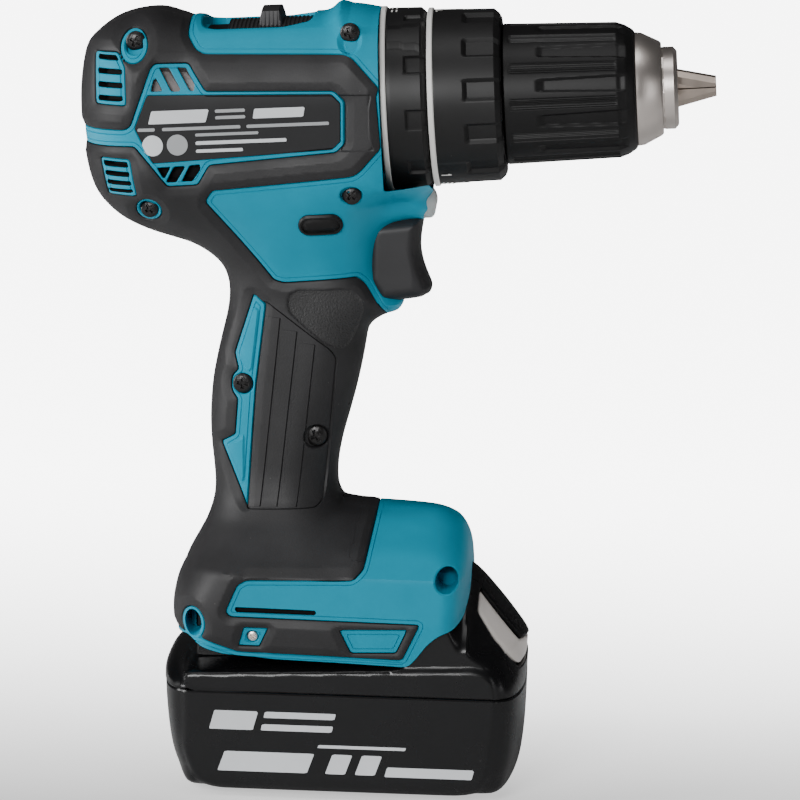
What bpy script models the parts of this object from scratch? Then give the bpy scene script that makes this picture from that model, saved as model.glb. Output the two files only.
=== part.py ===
"""Cordless two-speed hammer drill standing on its battery, built as separate named pieces.

Frame: +X towards the chuck, +Y to the drill's left, +Z up, origin under the battery's centre.
Lengths below are millimetres; every mesh is scaled to metres when it is made. The head's pieces
are modelled in a tool frame whose X axis is the spindle axis, pitched nose-up over the battery.
"""

import math

import bmesh
import bpy
from mathutils import Matrix, Vector

MM = 0.001
GAP = 0.3            # clearance between neighbouring pieces
SPLIT = 0.15         # each half casing's clearance to the middle plane

# ---------------------------------------------------------------- driving sizes
SPINDLE_HEIGHT = 214.5   # spindle axis above the ground at x = 0
SPINDLE_PITCH = math.radians(3.9)
HEAD_BACK = -97.53       # rearmost station of the head
HEAD_FRONT = -5.4        # station of the casing's front edge
HEAD_TOP = 27.7
HEAD_WIDTH = 31.0        # half width
CASING_WALL = 2.4
SKIN = 1.5               # depth of the soft grip skin
HANDLE_WIDTH = 17.0      # half width
FOOT_WIDTH = 39.3        # half width
FOOT_BOTTOM = 44.0

GEAR_CASE_R = 22.6
GEAR_CASE_WALL = 2.0
GEAR_CASE_BACK = -44.0
GEAR_CASE_STEP = 8.6
GEAR_CASE_NOSE = 31.0
GEAR_CASE_NOSE_R = 19.5
STATOR_R = 21.5
STATOR_BORE = 13.0
STATOR_BACK = -78.5
STATOR_FRONT = -53.5
SHAFT_R = 2.5
BEARING_R = 6.5
REAR_BEARING_BACK = -92.3
BEARING_LENGTH = 4.3
FRONT_BEARING_BACK = -49.2

GEAR_MODULE = 4.0 / 3.0
SUN_TEETH = 9
PLANET_TEETH = 9
RING_TEETH = 27
RING_GEAR_R = GEAR_CASE_R - GEAR_CASE_WALL - GAP
PLANETS = 3
CARRIER_R = 15.2
PIN_R = 1.6

SPINDLE_R = 6.0
SPINDLE_BACK = -3.7
SPINDLE_FRONT = 52.0
SPINDLE_BEARING_R = 13.5
SPINDLE_BEARING_BACK = 20.0
SPINDLE_BEARING_LENGTH = 8.6

MODE_RING_R = 28.0
MODE_RING_BACK = -5.0
MODE_RING_FRONT = 9.0
TORQUE_RING_R = 26.7
TORQUE_RING_FRONT = 33.0
SPRING_WIRE_R = 0.75

SLEEVE_R = 21.5
SLEEVE_BORE = 18.5
SLEEVE_BACK = 33.6
SLEEVE_FRONT = 73.0
CAP_R = 17.4
CAP_FRONT = 80.8
NOSE_R = 12.7
NOSE_FRONT = 86.4
JAW_TIP = 98.2
JAW_R = 3.5
JAW_LENGTH = 31.0
JAW_TILT = math.radians(15.0)
JAW_TIP_OFFSET = -0.46
JAW_COUNT = 3

SCREW_R = 1.7
SCREW_HEAD_R = 3.1
SCREW_HEAD = 2.2
SCREW_LENGTH = 24.0
BOSS_R = 4.4

BATTERY_BACK = -68.3
BATTERY_FRONT = 45.0
BATTERY_WIDTH = 37.5     # half width
BATTERY_WALL = 2.2
BATTERY_SQUARENESS = 10.0  # how full the plan shape's corners are
BATTERY_SEAM = 33.4
BATTERY_DECK = 41.7
TONGUE_NECK = 19.6       # half width under the flange
TONGUE_FLANGE = 23.6     # half width of the flange
TONGUE_LEDGE = 50.2      # underside of the flange
TONGUE_TOP = 57.0
TONGUE_BACK = -58.0
TONGUE_FRONT = 16.0
CELL_R = 8.9
CELL_LENGTH = 65.0
CELL_PITCH = 18.6
CELL_COLUMNS = 5

TRIGGER_WIDTH = 10.5     # half width
SELECTOR_TRAVEL = 8.5

HEAD_FACETS = 18
HANDLE_FACETS = 12
FOOT_FACETS = 16
TURNED_FACETS = 20
BATTERY_FACETS = 20
RING_NOTCHES = 12
SLEEVE_FLUTES = 6

FINISHES = {
    "teal": ((0.0, 0.25, 0.32), 0.45, 0.0),
    "rubber": ((0.025, 0.025, 0.027), 0.75, 0.0),
    "black": ((0.012, 0.012, 0.013), 0.4, 0.0),
    "gloss": ((0.008, 0.008, 0.009), 0.22, 0.0),
    "steel": ((0.55, 0.53, 0.5), 0.3, 1.0),
    "dark_steel": ((0.2, 0.19, 0.18), 0.35, 1.0),
    "alloy": ((0.6, 0.6, 0.61), 0.45, 1.0),
    "copper": ((0.6, 0.28, 0.14), 0.4, 1.0),
    "sintered": ((0.3, 0.29, 0.28), 0.5, 1.0),
    "lens": ((0.85, 0.87, 0.85), 0.15, 0.0),
    "light_grey": ((0.62, 0.6, 0.57), 0.5, 0.0),
    "board": ((0.02, 0.16, 0.07), 0.5, 0.0),
    "cell": ((0.05, 0.25, 0.16), 0.45, 0.0),
}


# ---------------------------------------------------------------- making things
def clear_scene():
    for old in list(bpy.data.objects):
        bpy.data.objects.remove(old, do_unlink=True)


def new_collection(name):
    collection = bpy.data.collections.new(name)
    bpy.context.scene.collection.children.link(collection)
    return collection


clear_scene()
PARTS = new_collection("cordless_drill")
CUTTERS = new_collection("cutters")


def finish_material(name):
    material = bpy.data.materials.get(name)
    if material is None:
        colour, roughness, metallic = FINISHES[name]
        material = bpy.data.materials.new(name)
        material.use_nodes = True
        shader = material.node_tree.nodes["Principled BSDF"]
        shader.inputs["Base Color"].default_value = (*colour, 1.0)
        shader.inputs["Roughness"].default_value = roughness
        shader.inputs["Metallic"].default_value = metallic
    return material


def new_empty(name, location, rotation, parent=None):
    empty = bpy.data.objects.new(name, None)
    empty.parent = parent
    empty.location = Vector(location) * MM
    empty.rotation_euler = rotation
    CUTTERS.objects.link(empty)
    return empty


TOOL = new_empty("tool_frame", (0, 0, SPINDLE_HEIGHT), (0, -SPINDLE_PITCH, 0))
AXIS = new_empty("spindle_frame", (0, 0, 0), (0, math.pi / 2, 0), TOOL)


def add_object(name, mesh, finish=None, parent=None):
    """A part with a finish, or without one a hidden cutter."""
    shape = bpy.data.objects.new(name, mesh)
    shape.parent = parent
    if finish is None:
        CUTTERS.objects.link(shape)
        shape.hide_render = True
        shape.display_type = "WIRE"
    else:
        PARTS.objects.link(shape)
        shape.data.materials.append(finish_material(finish))
    return shape


def from_bmesh(name, bm, finish=None, parent=None):
    bmesh.ops.recalc_face_normals(bm, faces=bm.faces)
    bmesh.ops.scale(bm, vec=(MM, MM, MM), verts=bm.verts)
    mesh = bpy.data.meshes.new(name)
    bm.to_mesh(mesh)
    bm.free()
    mesh.shade_smooth()
    mesh.set_sharp_from_angle(angle=math.radians(30))
    return add_object(name, mesh, finish, parent)


def box(name, low, high, finish=None, parent=None):
    bm = bmesh.new()
    bmesh.ops.create_cube(bm, size=1.0)
    size = [b - a for a, b in zip(low, high)]
    centre = [(a + b) / 2 for a, b in zip(low, high)]
    bmesh.ops.scale(bm, vec=size, verts=bm.verts)
    bmesh.ops.translate(bm, vec=centre, verts=bm.verts)
    return from_bmesh(name, bm, finish, parent)


def cylinder(name, radius, start, end, finish=None, parent=None, sides=24, tip_radius=None):
    """A round bar, or with a tip radius a cone, from one point to another."""
    start = Vector(start)
    along = Vector(end) - start
    turn = along.to_track_quat("Z", "Y").to_matrix().to_4x4()
    bm = bmesh.new()
    bmesh.ops.create_cone(
        bm, cap_ends=True, segments=sides, radius1=radius,
        radius2=radius if tip_radius is None else tip_radius, depth=along.length,
        matrix=Matrix.Translation(start + along / 2) @ turn,
    )
    return from_bmesh(name, bm, finish, parent)


def prism(name, outline, low, high, finish=None, parent=None, along="Y"):
    """An outline in the XZ plane made thick along Y, or one in XY made thick along Z."""
    if along == "Y":
        corners = [(x, low, z) for x, z in outline]
        lift = (0, high - low, 0)
    else:
        corners = [(x, y, low) for x, y in outline]
        lift = (0, 0, high - low)
    bm = bmesh.new()
    face = bm.faces.new([bm.verts.new(corner) for corner in corners])
    top = bmesh.ops.extrude_face_region(bm, geom=[face])
    moved = [item for item in top["geom"] if isinstance(item, bmesh.types.BMVert)]
    bmesh.ops.translate(bm, vec=lift, verts=moved)
    return from_bmesh(name, bm, finish, parent)


def loft(name, rings, finish=None, parent=None):
    """A closed body of flat triangles through rings with the same number of points."""
    bm = bmesh.new()
    loops = [[bm.verts.new(point) for point in ring] for ring in rings]
    for lower, upper in zip(loops, loops[1:]):
        for k, corner in enumerate(lower):
            after = (k + 1) % len(lower)
            bm.faces.new((corner, lower[after], upper[after], upper[k]))
    bm.faces.new(loops[0])
    bm.faces.new(loops[-1])
    bmesh.ops.recalc_face_normals(bm, faces=bm.faces)
    bmesh.ops.triangulate(bm, faces=bm.faces)
    return from_bmesh(name, bm, finish, parent)


def turned(name, profile, finish=None, parent=None, steps=TURNED_FACETS):
    """A profile of (radius, station) turned round its frame's Z axis, outer side running down."""
    open_profile = profile[0][0] == 0.0 and profile[-1][0] == 0.0
    area = sum(
        a[0] * b[1] - b[0] * a[1] for a, b in zip(profile, profile[1:] + profile[:1])
    )
    points = profile if area < 0 else profile[::-1]
    count = len(points)
    edges = [(k, k + 1) for k in range(count - 1)]
    if not open_profile:
        edges.append((count - 1, 0))
    mesh = bpy.data.meshes.new(name)
    mesh.from_pydata([(r * MM, 0, s * MM) for r, s in points], edges, [])
    shape = add_object(name, mesh, finish, parent or AXIS)
    screw = shape.modifiers.new("Turn", "SCREW")
    screw.axis = "Z"
    screw.angle = 2 * math.pi
    screw.steps = steps
    screw.render_steps = steps
    screw.use_merge_vertices = True
    screw.merge_threshold = 0.00001
    screw.use_smooth_shade = True
    return shape


def combine(shape, other, operation="DIFFERENCE"):
    boolean = shape.modifiers.new(other.name, "BOOLEAN")
    boolean.operation = operation
    boolean.solver = "EXACT"
    boolean.object = other
    return shape


def settled(shape):
    """The shape with its modifiers worked into its mesh."""
    bpy.context.view_layer.update()
    evaluated = shape.evaluated_get(bpy.context.evaluated_depsgraph_get())
    mesh = bpy.data.meshes.new_from_object(evaluated)
    shape.modifiers.clear()
    shape.data = mesh
    return shape


def simplified(shape, angle=math.radians(0.6)):
    """The shape with the flat slivers that its cuts left joined to their neighbours."""
    bm = bmesh.new()
    bm.from_mesh(shape.data)
    bmesh.ops.remove_doubles(bm, verts=bm.verts, dist=0.02 * MM)
    bmesh.ops.dissolve_limit(bm, angle_limit=angle, verts=bm.verts, edges=bm.edges)
    bmesh.ops.triangulate(bm, faces=bm.faces)
    bm.to_mesh(shape.data)
    bm.free()
    return shape


def ring_of(profile_r, bore, back, front):
    """The closed (radius, station) profile of a plain ring."""
    return [(bore, back), (profile_r, back), (profile_r, front), (bore, front)]


def rounded(half_x, half_y, power, count):
    """Points of a rounded oblong whose corners fill out as the power grows."""
    points = []
    for k in range(count):
        angle = 2 * math.pi * (k + 0.5) / count
        c, s = math.cos(angle), math.sin(angle)
        points.append((
            half_x * math.copysign(abs(c) ** (2 / power), c),
            half_y * math.copysign(abs(s) ** (2 / power), s),
        ))
    return points


def on_head(station, height):
    """A tool-frame point of the middle plane as (x, z) of the drill's frame."""
    c, s = math.cos(SPINDLE_PITCH), math.sin(SPINDLE_PITCH)
    return (station * c - height * s, SPINDLE_HEIGHT + station * s + height * c)


# ---------------------------------------------------------------- casing form
# Head sections: station, top, bottom, half width.
HEAD_SECTIONS = [
    (HEAD_BACK, 13.0, -15.0, HEAD_WIDTH - 12.0),
    (HEAD_BACK + 3.5, 22.5, -24.0, HEAD_WIDTH - 5.5),
    (HEAD_BACK + 10.5, 28.2, -32.0, HEAD_WIDTH - 1.6),
    (HEAD_BACK + 20.0, HEAD_TOP + 3.0, -37.0, HEAD_WIDTH),
    (-61.5, HEAD_TOP, -42.5, HEAD_WIDTH - 0.3),
    (-20.0, HEAD_TOP, -38.5, HEAD_WIDTH - 1.2),
    (-16.5, HEAD_TOP + 2.4, -38.0, HEAD_WIDTH - 1.3),
    (HEAD_FRONT, HEAD_TOP + 0.3, -37.5, HEAD_WIDTH - 2.0),
]
# Handle sections: height, back, front, half width.
HANDLE_SECTIONS = [
    (186.0, -58.0, -9.0, HANDLE_WIDTH + 7.5),
    (168.5, -62.0, -5.0, HANDLE_WIDTH + 5.0),
    (160.5, -52.6, -4.0, HANDLE_WIDTH + 3.0),
    (152.8, -50.8, 2.6, HANDLE_WIDTH + 1.2),
    (148.6, -51.1, -4.0, HANDLE_WIDTH + 0.8),
    (140.5, -53.0, -8.3, HANDLE_WIDTH + 0.2),
    (116.0, -56.1, -13.0, HANDLE_WIDTH - 0.3),
    (98.0, -54.7, -16.5, HANDLE_WIDTH + 0.3),
    (82.0, -57.0, -8.0, HANDLE_WIDTH + 8.0),
]
# Foot sections: height, back, front, half width.
FOOT_SECTIONS = [
    (91.2, -42.0, 13.0, FOOT_WIDTH - 26.0),
    (88.6, -52.0, 19.8, FOOT_WIDTH - 19.0),
    (80.5, -57.8, 25.4, FOOT_WIDTH - 9.0),
    (66.0, -65.4, 26.9, FOOT_WIDTH - 1.2),
    (57.0, -66.4, 24.8, FOOT_WIDTH),
    (50.4, -65.4, 14.8, FOOT_WIDTH - 0.4),
    (FOOT_BOTTOM, -58.0, 9.4, FOOT_WIDTH - 1.4),
]


def head_rings(inset, count):
    rings = []
    for number, (station, top, bottom, width) in enumerate(HEAD_SECTIONS):
        shift = inset if number == 0 else 0.0
        half = (top - bottom) / 2 - inset
        middle = (top + bottom) / 2
        outline = rounded(width - inset, half, 2.7, count)
        rings.append([(station + shift, y, middle + w) for y, w in outline])
    return rings


def upright_rings(inset, sections, power, count, top_inset=0.0, bottom_inset=0.0):
    rings = []
    last = len(sections) - 1
    for number, (height, back, front, width) in enumerate(sections):
        lift = {0: -top_inset, last: bottom_inset}.get(number, 0.0)
        half = (front - back) / 2 - inset
        middle = (front + back) / 2
        outline = rounded(half, width - inset, power, count)
        rings.append([(middle + x, y, height + lift) for x, y in outline])
    return rings


def casing_form(name, inset, coarser=0):
    """Head, handle and foot as one closed body, inset from the outer surface."""
    head = loft(name, head_rings(inset, count=HEAD_FACETS - coarser), parent=TOOL)
    handle = loft(name + "_handle", upright_rings(
        inset, HANDLE_SECTIONS, 2.5, HANDLE_FACETS - coarser // 2))
    foot = loft(name + "_foot", upright_rings(
        inset, FOOT_SECTIONS, 4.0, FOOT_FACETS - coarser, inset, 0.0))
    combine(head, handle, "UNION")
    combine(head, foot, "UNION")
    return settled(head)


# Where the spindle lamp sits under the mode ring.
NOSE_LOW = -38.4
NOSE_HIGH = -MODE_RING_R - 0.5
NOSE_REACH = 9.4
NOSE_WIDTH = 13.0

# Seven casing screws: the frame they lie in, their place, the head's depth and the length.
SCREWS = [
    ("head", -77.6, 25.6, -19.5, SCREW_LENGTH),
    ("head", -11.9, 26.4, -15.5, SCREW_LENGTH),
    ("head", -75.8, -28.2, -22.5, SCREW_LENGTH),
    ("head", -13.9, -26.6, -21.0, SCREW_LENGTH),
    ("grip", -45.2, 125.6, -14.4, SCREW_LENGTH - 4.0),
    ("grip", -22.4, 109.8, -14.4, SCREW_LENGTH - 4.0),
    ("grip", -39.6, 50.3, -35.6, 9.0),
]

# Vent slots in each half's rear corner and cheek: station span, lowest height, slot count.
REAR_VENTS = [(-92.5, -81.5, 6.6, 4), (-92.0, -81.0, -21.5, 4)]
VENT_PITCH = 3.9
VENT_HEIGHT = 1.9
VENT_DEPTH = 15.0


def screw_frame(kind):
    return TOOL if kind == "head" else None


def screw_rods(radius, label, start_extra, end_extra, sides=8):
    """One rod along each casing screw, longer than it at both ends."""
    rods = []
    for number, (kind, x, z, head, length) in enumerate(SCREWS, start=1):
        start = (x, head - start_extra, z)
        end = (x, head + length + end_extra, z)
        rods.append(cylinder(f"{label}_{number}", radius, start, end,
                             parent=screw_frame(kind), sides=sides))
    return rods


def make_hollow():
    """The space inside the casing: the inset form less bosses, ribs and the pack's channel."""
    hollow = casing_form("hollow", SKIN + CASING_WALL, coarser=4)
    for rod in screw_rods(BOSS_R, "boss", 30.0, 30.0, sides=6):
        combine(hollow, rod)
    for station in (STATOR_BACK + 2.5, STATOR_FRONT - 2.5):
        plate = box(f"rib{station:.0f}", (station - 1, -40, -60), (station + 1, 40, 40), parent=TOOL)
        hole = cylinder(f"rib_hole{station:.0f}", STATOR_R + GAP,
                        (station - 5, 0, 0), (station + 5, 0, 0), parent=TOOL)
        combine(plate, hole)
        gap = box(f"rib_gap{station:.0f}", (station - 2, -7, -62), (station + 2, 7, -34), parent=TOOL)
        combine(plate, gap)
        combine(hollow, settled(plate))
    cup = cylinder("bearing_cup", BEARING_R + 2.2, (HEAD_BACK, 0, 0),
                   (REAR_BEARING_BACK + BEARING_LENGTH, 0, 0), parent=TOOL)
    combine(hollow, cup)
    low = FOOT_BOTTOM - 5
    channel = box("channel_walls", (-80, -TONGUE_FLANGE - 3.0, low),
                  (40, TONGUE_FLANGE + 3.0, TONGUE_TOP + 3.2))
    combine(hollow, channel)
    floor = box("side_floor", (-80, -60, low), (40, 60, FOOT_BOTTOM + 2.6))
    combine(hollow, floor)
    return settled(hollow)


def make_vent_cutter():
    """Every rear vent slot's block as one cutter."""
    bm = bmesh.new()
    for back, front, base, count in REAR_VENTS:
        for number in range(count):
            for side in (-1, 1):
                low = (back, side * VENT_DEPTH, base + number * VENT_PITCH)
                size = (front - back, side * (60 - VENT_DEPTH), VENT_HEIGHT)
                centre = [a + b / 2 for a, b in zip(low, size)]
                scale = Matrix.Diagonal((size[0], abs(size[1]), size[2], 1.0))
                bmesh.ops.create_cube(bm, size=1.0, matrix=Matrix.Translation(centre) @ scale)
    return from_bmesh("vents", bm, parent=TOOL)


def make_casing():
    """Both halves' outer casing in one piece, before the grip skin's bed is cut."""
    casing = casing_form("casing", 0.0)
    nose = box("lamp_nose", (HEAD_FRONT - 6, -NOSE_WIDTH, NOSE_LOW),
               (NOSE_REACH, NOSE_WIDTH, NOSE_HIGH), parent=TOOL)
    combine(casing, nose, "UNION")
    combine(casing, make_hollow())
    bore = turned("casing_bore", [
        (0.0, GEAR_CASE_BACK - 0.5), (GEAR_CASE_R + GAP, GEAR_CASE_BACK - 0.5),
        (GEAR_CASE_R + GAP, HEAD_FRONT + 30), (0.0, HEAD_FRONT + 30)])
    combine(casing, bore)
    ring_room = turned("ring_room", ring_of(MODE_RING_R + 0.4, GEAR_CASE_R - 3,
                                            MODE_RING_BACK - GAP, 45.0))
    combine(casing, ring_room)
    pocket = cylinder("bearing_pocket", BEARING_R + GAP, (REAR_BEARING_BACK - GAP, 0, 0),
                      (REAR_BEARING_BACK + 12, 0, 0), parent=TOOL)
    combine(casing, pocket)
    low = FOOT_BOTTOM - 4
    neck = box("channel_neck", (TONGUE_BACK - 1.5, -TONGUE_NECK - 0.6, low),
               (50, TONGUE_NECK + 0.6, TONGUE_LEDGE))
    flange = box("channel_flange", (TONGUE_BACK - 1.5, -TONGUE_FLANGE - 0.6, TONGUE_LEDGE - 0.5),
                 (50, TONGUE_FLANGE + 0.6, TONGUE_TOP + 0.6))
    combine(casing, neck)
    combine(casing, flange)
    window = box("trigger_window", (-19.5, -TRIGGER_WIDTH - 0.4, 152.4),
                 (14, TRIGGER_WIDTH + 0.4, 176.7))
    combine(casing, window)
    pill = rounded(LEVER_LENGTH / 2 + 0.4, LEVER_HEIGHT / 2 + 0.4, 3.0, 16)
    slot = prism("lever_slot", [(LEVER_X + x, LEVER_Z + z) for x, z in pill], -45, 45)
    combine(casing, slot)
    lens = box("lens_pocket", (LENS_BACK - GAP, -LENS_WIDTH - GAP, LENS_LOW - GAP),
               (NOSE_REACH + 2, LENS_WIDTH + GAP, LENS_HIGH + GAP), parent=TOOL)
    combine(casing, lens)
    top = HEAD_TOP - SELECTOR_DEPTH
    recess = box("selector_recess", (SELECTOR_BACK - SELECTOR_TRAVEL - 0.6, -SELECTOR_WIDTH - 0.4, top),
                 (SELECTOR_FRONT + 0.6, SELECTOR_WIDTH + 0.4, HEAD_TOP + 8), parent=TOOL)
    combine(casing, recess)
    arm_slot = box("arm_slot", (ARM_BACK - SELECTOR_TRAVEL - 0.6, -ARM_WIDTH - 0.5, 15),
                   (ARM_FRONT + 0.6, ARM_WIDTH + 0.5, HEAD_TOP), parent=TOOL)
    combine(casing, arm_slot)
    combine(casing, make_vent_cutter())
    return settled(casing)


# Small moving pieces' places, used by the casing's openings.
LEVER_X, LEVER_Z = -21.9, 177.6
LEVER_LENGTH, LEVER_HEIGHT = 13.2, 6.0
LEVER_REACH = 26.5
LENS_BACK, LENS_LOW, LENS_HIGH, LENS_WIDTH = 5.4, -36.2, -30.6, 5.5
SELECTOR_BACK, SELECTOR_FRONT = -49.0, -25.4
SELECTOR_WIDTH = 8.0
SELECTOR_DEPTH = 3.2
ARM_BACK, ARM_FRONT, ARM_WIDTH = -27.2, -24.6, 3.0

# The grip skin's outer edge on each side, and the casing islands that show through it.
SKIN_EDGE = (
    [on_head(u, w) for u, w in (
        (-62.0, 45.0), (-62.0, 24.4), (-59.6, 20.3), (-57.0, 19.0), (-11.7, 16.2),
        (-4.9, 7.5), (-4.9, -12.0), (-11.7, -19.7), (-56.2, -22.3), (-58.5, -26.0))]
    + [(-57.7, 183.0), (-35.9, 159.0), (-10.4, 160.8), (-2.0, 151.4), (9.0, 147.0),
       (9.0, 95.2), (-1.5, 95.2), (-3.3, 86.4), (-5.8, 72.8), (-8.5, 69.9), (-41.5, 68.8),
       (-43.9, 67.4), (-47.3, 59.2), (-45.3, 57.2), (11.5, 56.8), (6.7, 45.8),
       (-15.7, 46.0), (-44.0, 46.4), (-54.5, 48.8), (-58.5, 50.5), (-80.0, 50.5), (-80.0, 80.0),
       (-68.0, 120.0), (-68.0, 150.0), (-112.0, 175.0), (-112.0, 260.0), (-66.0, 260.0)]
)
LABEL_FRAME = [on_head(u, w) for u, w in (
    (-80.3, -2.3), (-72.5, 16.6), (-60.9, 16.4), (-56.4, 8.0), (-17.3, 6.7), (-14.6, 3.2),
    (-15.2, -9.5), (-17.5, -11.7), (-55.7, -13.7), (-60.0, -19.7), (-69.8, -20.0), (-74.1, -13.7))]
HANDLE_STRIP = [
    (-43.5, 154.4), (-38.8, 151.5), (-41.4, 125.3), (-43.3, 88.6), (-51.8, 107.5),
    (-47.5, 110.0), (-46.4, 130.2), (-48.2, 135.6)]
ISLANDS = {"label": LABEL_FRAME, "strip": HANDLE_STRIP}


def grown(outline, amount):
    """The outline with each corner moved out by about the amount, as a mitre does."""
    area = sum(a[0] * b[1] - b[0] * a[1] for a, b in zip(outline, outline[1:] + outline[:1]))
    turn = 1.0 if area > 0 else -1.0
    count = len(outline)
    moved = []
    for k, point in enumerate(outline):
        before = Vector(point) - Vector(outline[k - 1])
        after = Vector(outline[(k + 1) % count]) - Vector(point)
        n1 = Vector((before.y, -before.x)).normalized()
        n2 = Vector((after.y, -after.x)).normalized()
        mitre = (n1 + n2) / (1.0 + n1.dot(n2))
        moved.append(tuple(Vector(point) + mitre * (amount * turn)))
    return moved


def skin_zone(name, grow, depth):
    """The slab under one side's grip skin: its outline less the islands, out from the depth."""
    zone = prism(name, grown(SKIN_EDGE, grow), depth, 60.0)
    for label, outline in ISLANDS.items():
        combine(zone, prism(f"{name}_{label}", grown(outline, -grow), depth - 5, 65.0))
    return settled(zone)


def mirrored(shape, name, finish=None):
    """A copy of the shape on the other side of the middle plane."""
    mesh = shape.data.copy()
    mesh.transform(shape.matrix_world)
    mesh.transform(Matrix.Scale(-1.0, 4, Vector((0, 1, 0))))
    mesh.flip_normals()
    return add_object(name, mesh, finish)


def make_casings_and_grips():
    casing = make_casing()
    bed = casing_form("skin_bed", SKIN + GAP / 2)
    inner = casing_form("skin_inner", SKIN - GAP / 2)
    zone_cut = skin_zone("zone_cut", GAP / 2, -1.0)
    zone_skin = skin_zone("zone_skin", -GAP / 2, SPLIT)
    combine(zone_cut, bed)
    settled(zone_cut)
    mirror_cut = mirrored(zone_cut, "zone_cut_mirror")
    openings = [bpy.data.objects[name] for name in (
        "ring_room", "trigger_window", "selector_recess", "lever_slot", "casing_bore",
        "channel_neck", "channel_flange", "vents")]
    holes = screw_rods(SCREW_R + GAP, "hole", 0.0, 0.6)
    heads = []
    for number, (kind, x, z, head, _) in enumerate(SCREWS, start=1):
        heads.append(cylinder(f"head_room_{number}", SCREW_HEAD_R + GAP, (x, -60, z),
                              (x, head + SCREW_HEAD + GAP, z), parent=screw_frame(kind), sides=10))
    for side, sign, cut in (("right", -1, mirror_cut), ("left", 1, zone_cut)):
        half = box(f"half_{side}", (-130, min(sign * SPLIT, sign * 70), -20),
                   (60, max(sign * SPLIT, sign * 70), 280))
        casing_half = add_object(f"housing_{side}", casing.data.copy(), "teal", TOOL)
        combine(casing_half, half, "INTERSECT")
        combine(casing_half, cut)
        for hole in holes + heads:
            combine(casing_half, hole)
        simplified(settled(casing_half))
        form = add_object(f"grip_{side}", bpy.data.objects["grip_form"].data.copy()
                          if "grip_form" in bpy.data.objects else casing_outer(), "rubber", TOOL)
        combine(form, inner)
        zone = zone_skin if side == "left" else mirrored(zone_skin, "zone_skin_mirror")
        combine(form, zone, "INTERSECT")
        for opening in openings:
            combine(form, opening)
        for hole in holes + heads:
            combine(form, hole)
        simplified(settled(form))


def casing_outer():
    """The outer form's mesh, kept for both grip skins."""
    return casing_form("grip_form", 0.0).data.copy()


# ---------------------------------------------------------------- screws and small pieces
def make_screws():
    for number, (kind, x, z, head, length) in enumerate(SCREWS, start=1):
        name = f"housing_screw_{number}"
        finish = "steel" if number == len(SCREWS) else "black"
        screw = cylinder(name, SCREW_R, (x, head + SCREW_HEAD - 0.3, z), (x, head + length, z),
                         finish, screw_frame(kind), 8)
        top = cylinder(name + "_head", SCREW_HEAD_R, (x, head + SCREW_HEAD, z), (x, head, z),
                       parent=screw_frame(kind), sides=12, tip_radius=SCREW_HEAD_R - 0.7)
        combine(screw, top, "UNION")
        settled(screw)


def make_controls():
    trigger = prism("trigger", [
        (-13.0, 154.0), (-13.0, 173.5), (-3.0, 176.2), (9.0, 176.2), (8.2, 171.0), (8.3, 167.5),
        (9.2, 163.8), (11.2, 160.0), (12.3, 157.4), (11.4, 154.6), (3.0, 153.1)],
        -TRIGGER_WIDTH, TRIGGER_WIDTH, "black")
    bevel = trigger.modifiers.new("Edges", "BEVEL")
    bevel.width = 1.2 * MM
    bevel.segments = 1
    bevel.limit_method = "ANGLE"
    bevel.angle_limit = math.radians(60)
    pill = rounded(LEVER_LENGTH / 2, LEVER_HEIGHT / 2, 3.0, 16)
    prism("direction_lever", [(LEVER_X + x, LEVER_Z + z) for x, z in pill],
          -LEVER_REACH, LEVER_REACH, "black")
    box("lamp_lens", (LENS_BACK, -LENS_WIDTH, LENS_LOW), (NOSE_REACH - 0.2, LENS_WIDTH, LENS_HIGH),
        "lens", TOOL)
    plate_low = HEAD_TOP - SELECTOR_DEPTH + GAP
    selector = box("speed_selector", (SELECTOR_BACK, -SELECTOR_WIDTH, plate_low),
                   (SELECTOR_FRONT, SELECTOR_WIDTH, HEAD_TOP - 0.6), "black", TOOL)
    tab = box("selector_tab", (-41.0, -SELECTOR_WIDTH + 1.5, HEAD_TOP - 2),
              (-34.5, SELECTOR_WIDTH - 1.5, HEAD_TOP + 2.8), parent=TOOL)
    arm = box("selector_arm", (ARM_BACK, -ARM_WIDTH, RING_GEAR_R + GAP),
              (ARM_FRONT, ARM_WIDTH, plate_low + 1), parent=TOOL)
    combine(selector, tab, "UNION")
    combine(selector, arm, "UNION")
    settled(selector)


def make_electrics():
    switch = box("switch_unit", (-40.5, -11.0, 154.0), (-20.0, 11.0, 173.6), "black")
    plunger = box("switch_nose", (-22.0, -5.0, 158.0), (-19.8, 5.0, 168.0))
    combine(switch, plunger, "UNION")
    settled(switch)
    box("controller", (-46.0, -20.0, TONGUE_TOP + 3.5), (6.0, 20.0, TONGUE_TOP + 13.0), "alloy")
    roof = TONGUE_TOP + 3.2
    block = box("terminal_block", (-44.0, -15.0, TONGUE_TOP + 0.9), (-26.0, 15.0, roof - 0.1), "black")
    for y in (-9.0, 9.0):
        blade = box(f"blade{y:.0f}", (-42.0, y - 0.5, TONGUE_LEDGE + 0.4), (-28.0, y + 0.5, roof - 1))
        combine(block, blade, "UNION")
    settled(block)
    for side in ("right", "left"):
        well = box(f"terminal_well_{side}", (-44.4, -15.4, TONGUE_TOP - 2), (-25.6, 15.4, roof + 0.3))
        combine(bpy.data.objects[f"housing_{side}"], well)
        settled(bpy.data.objects[f"housing_{side}"])


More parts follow.
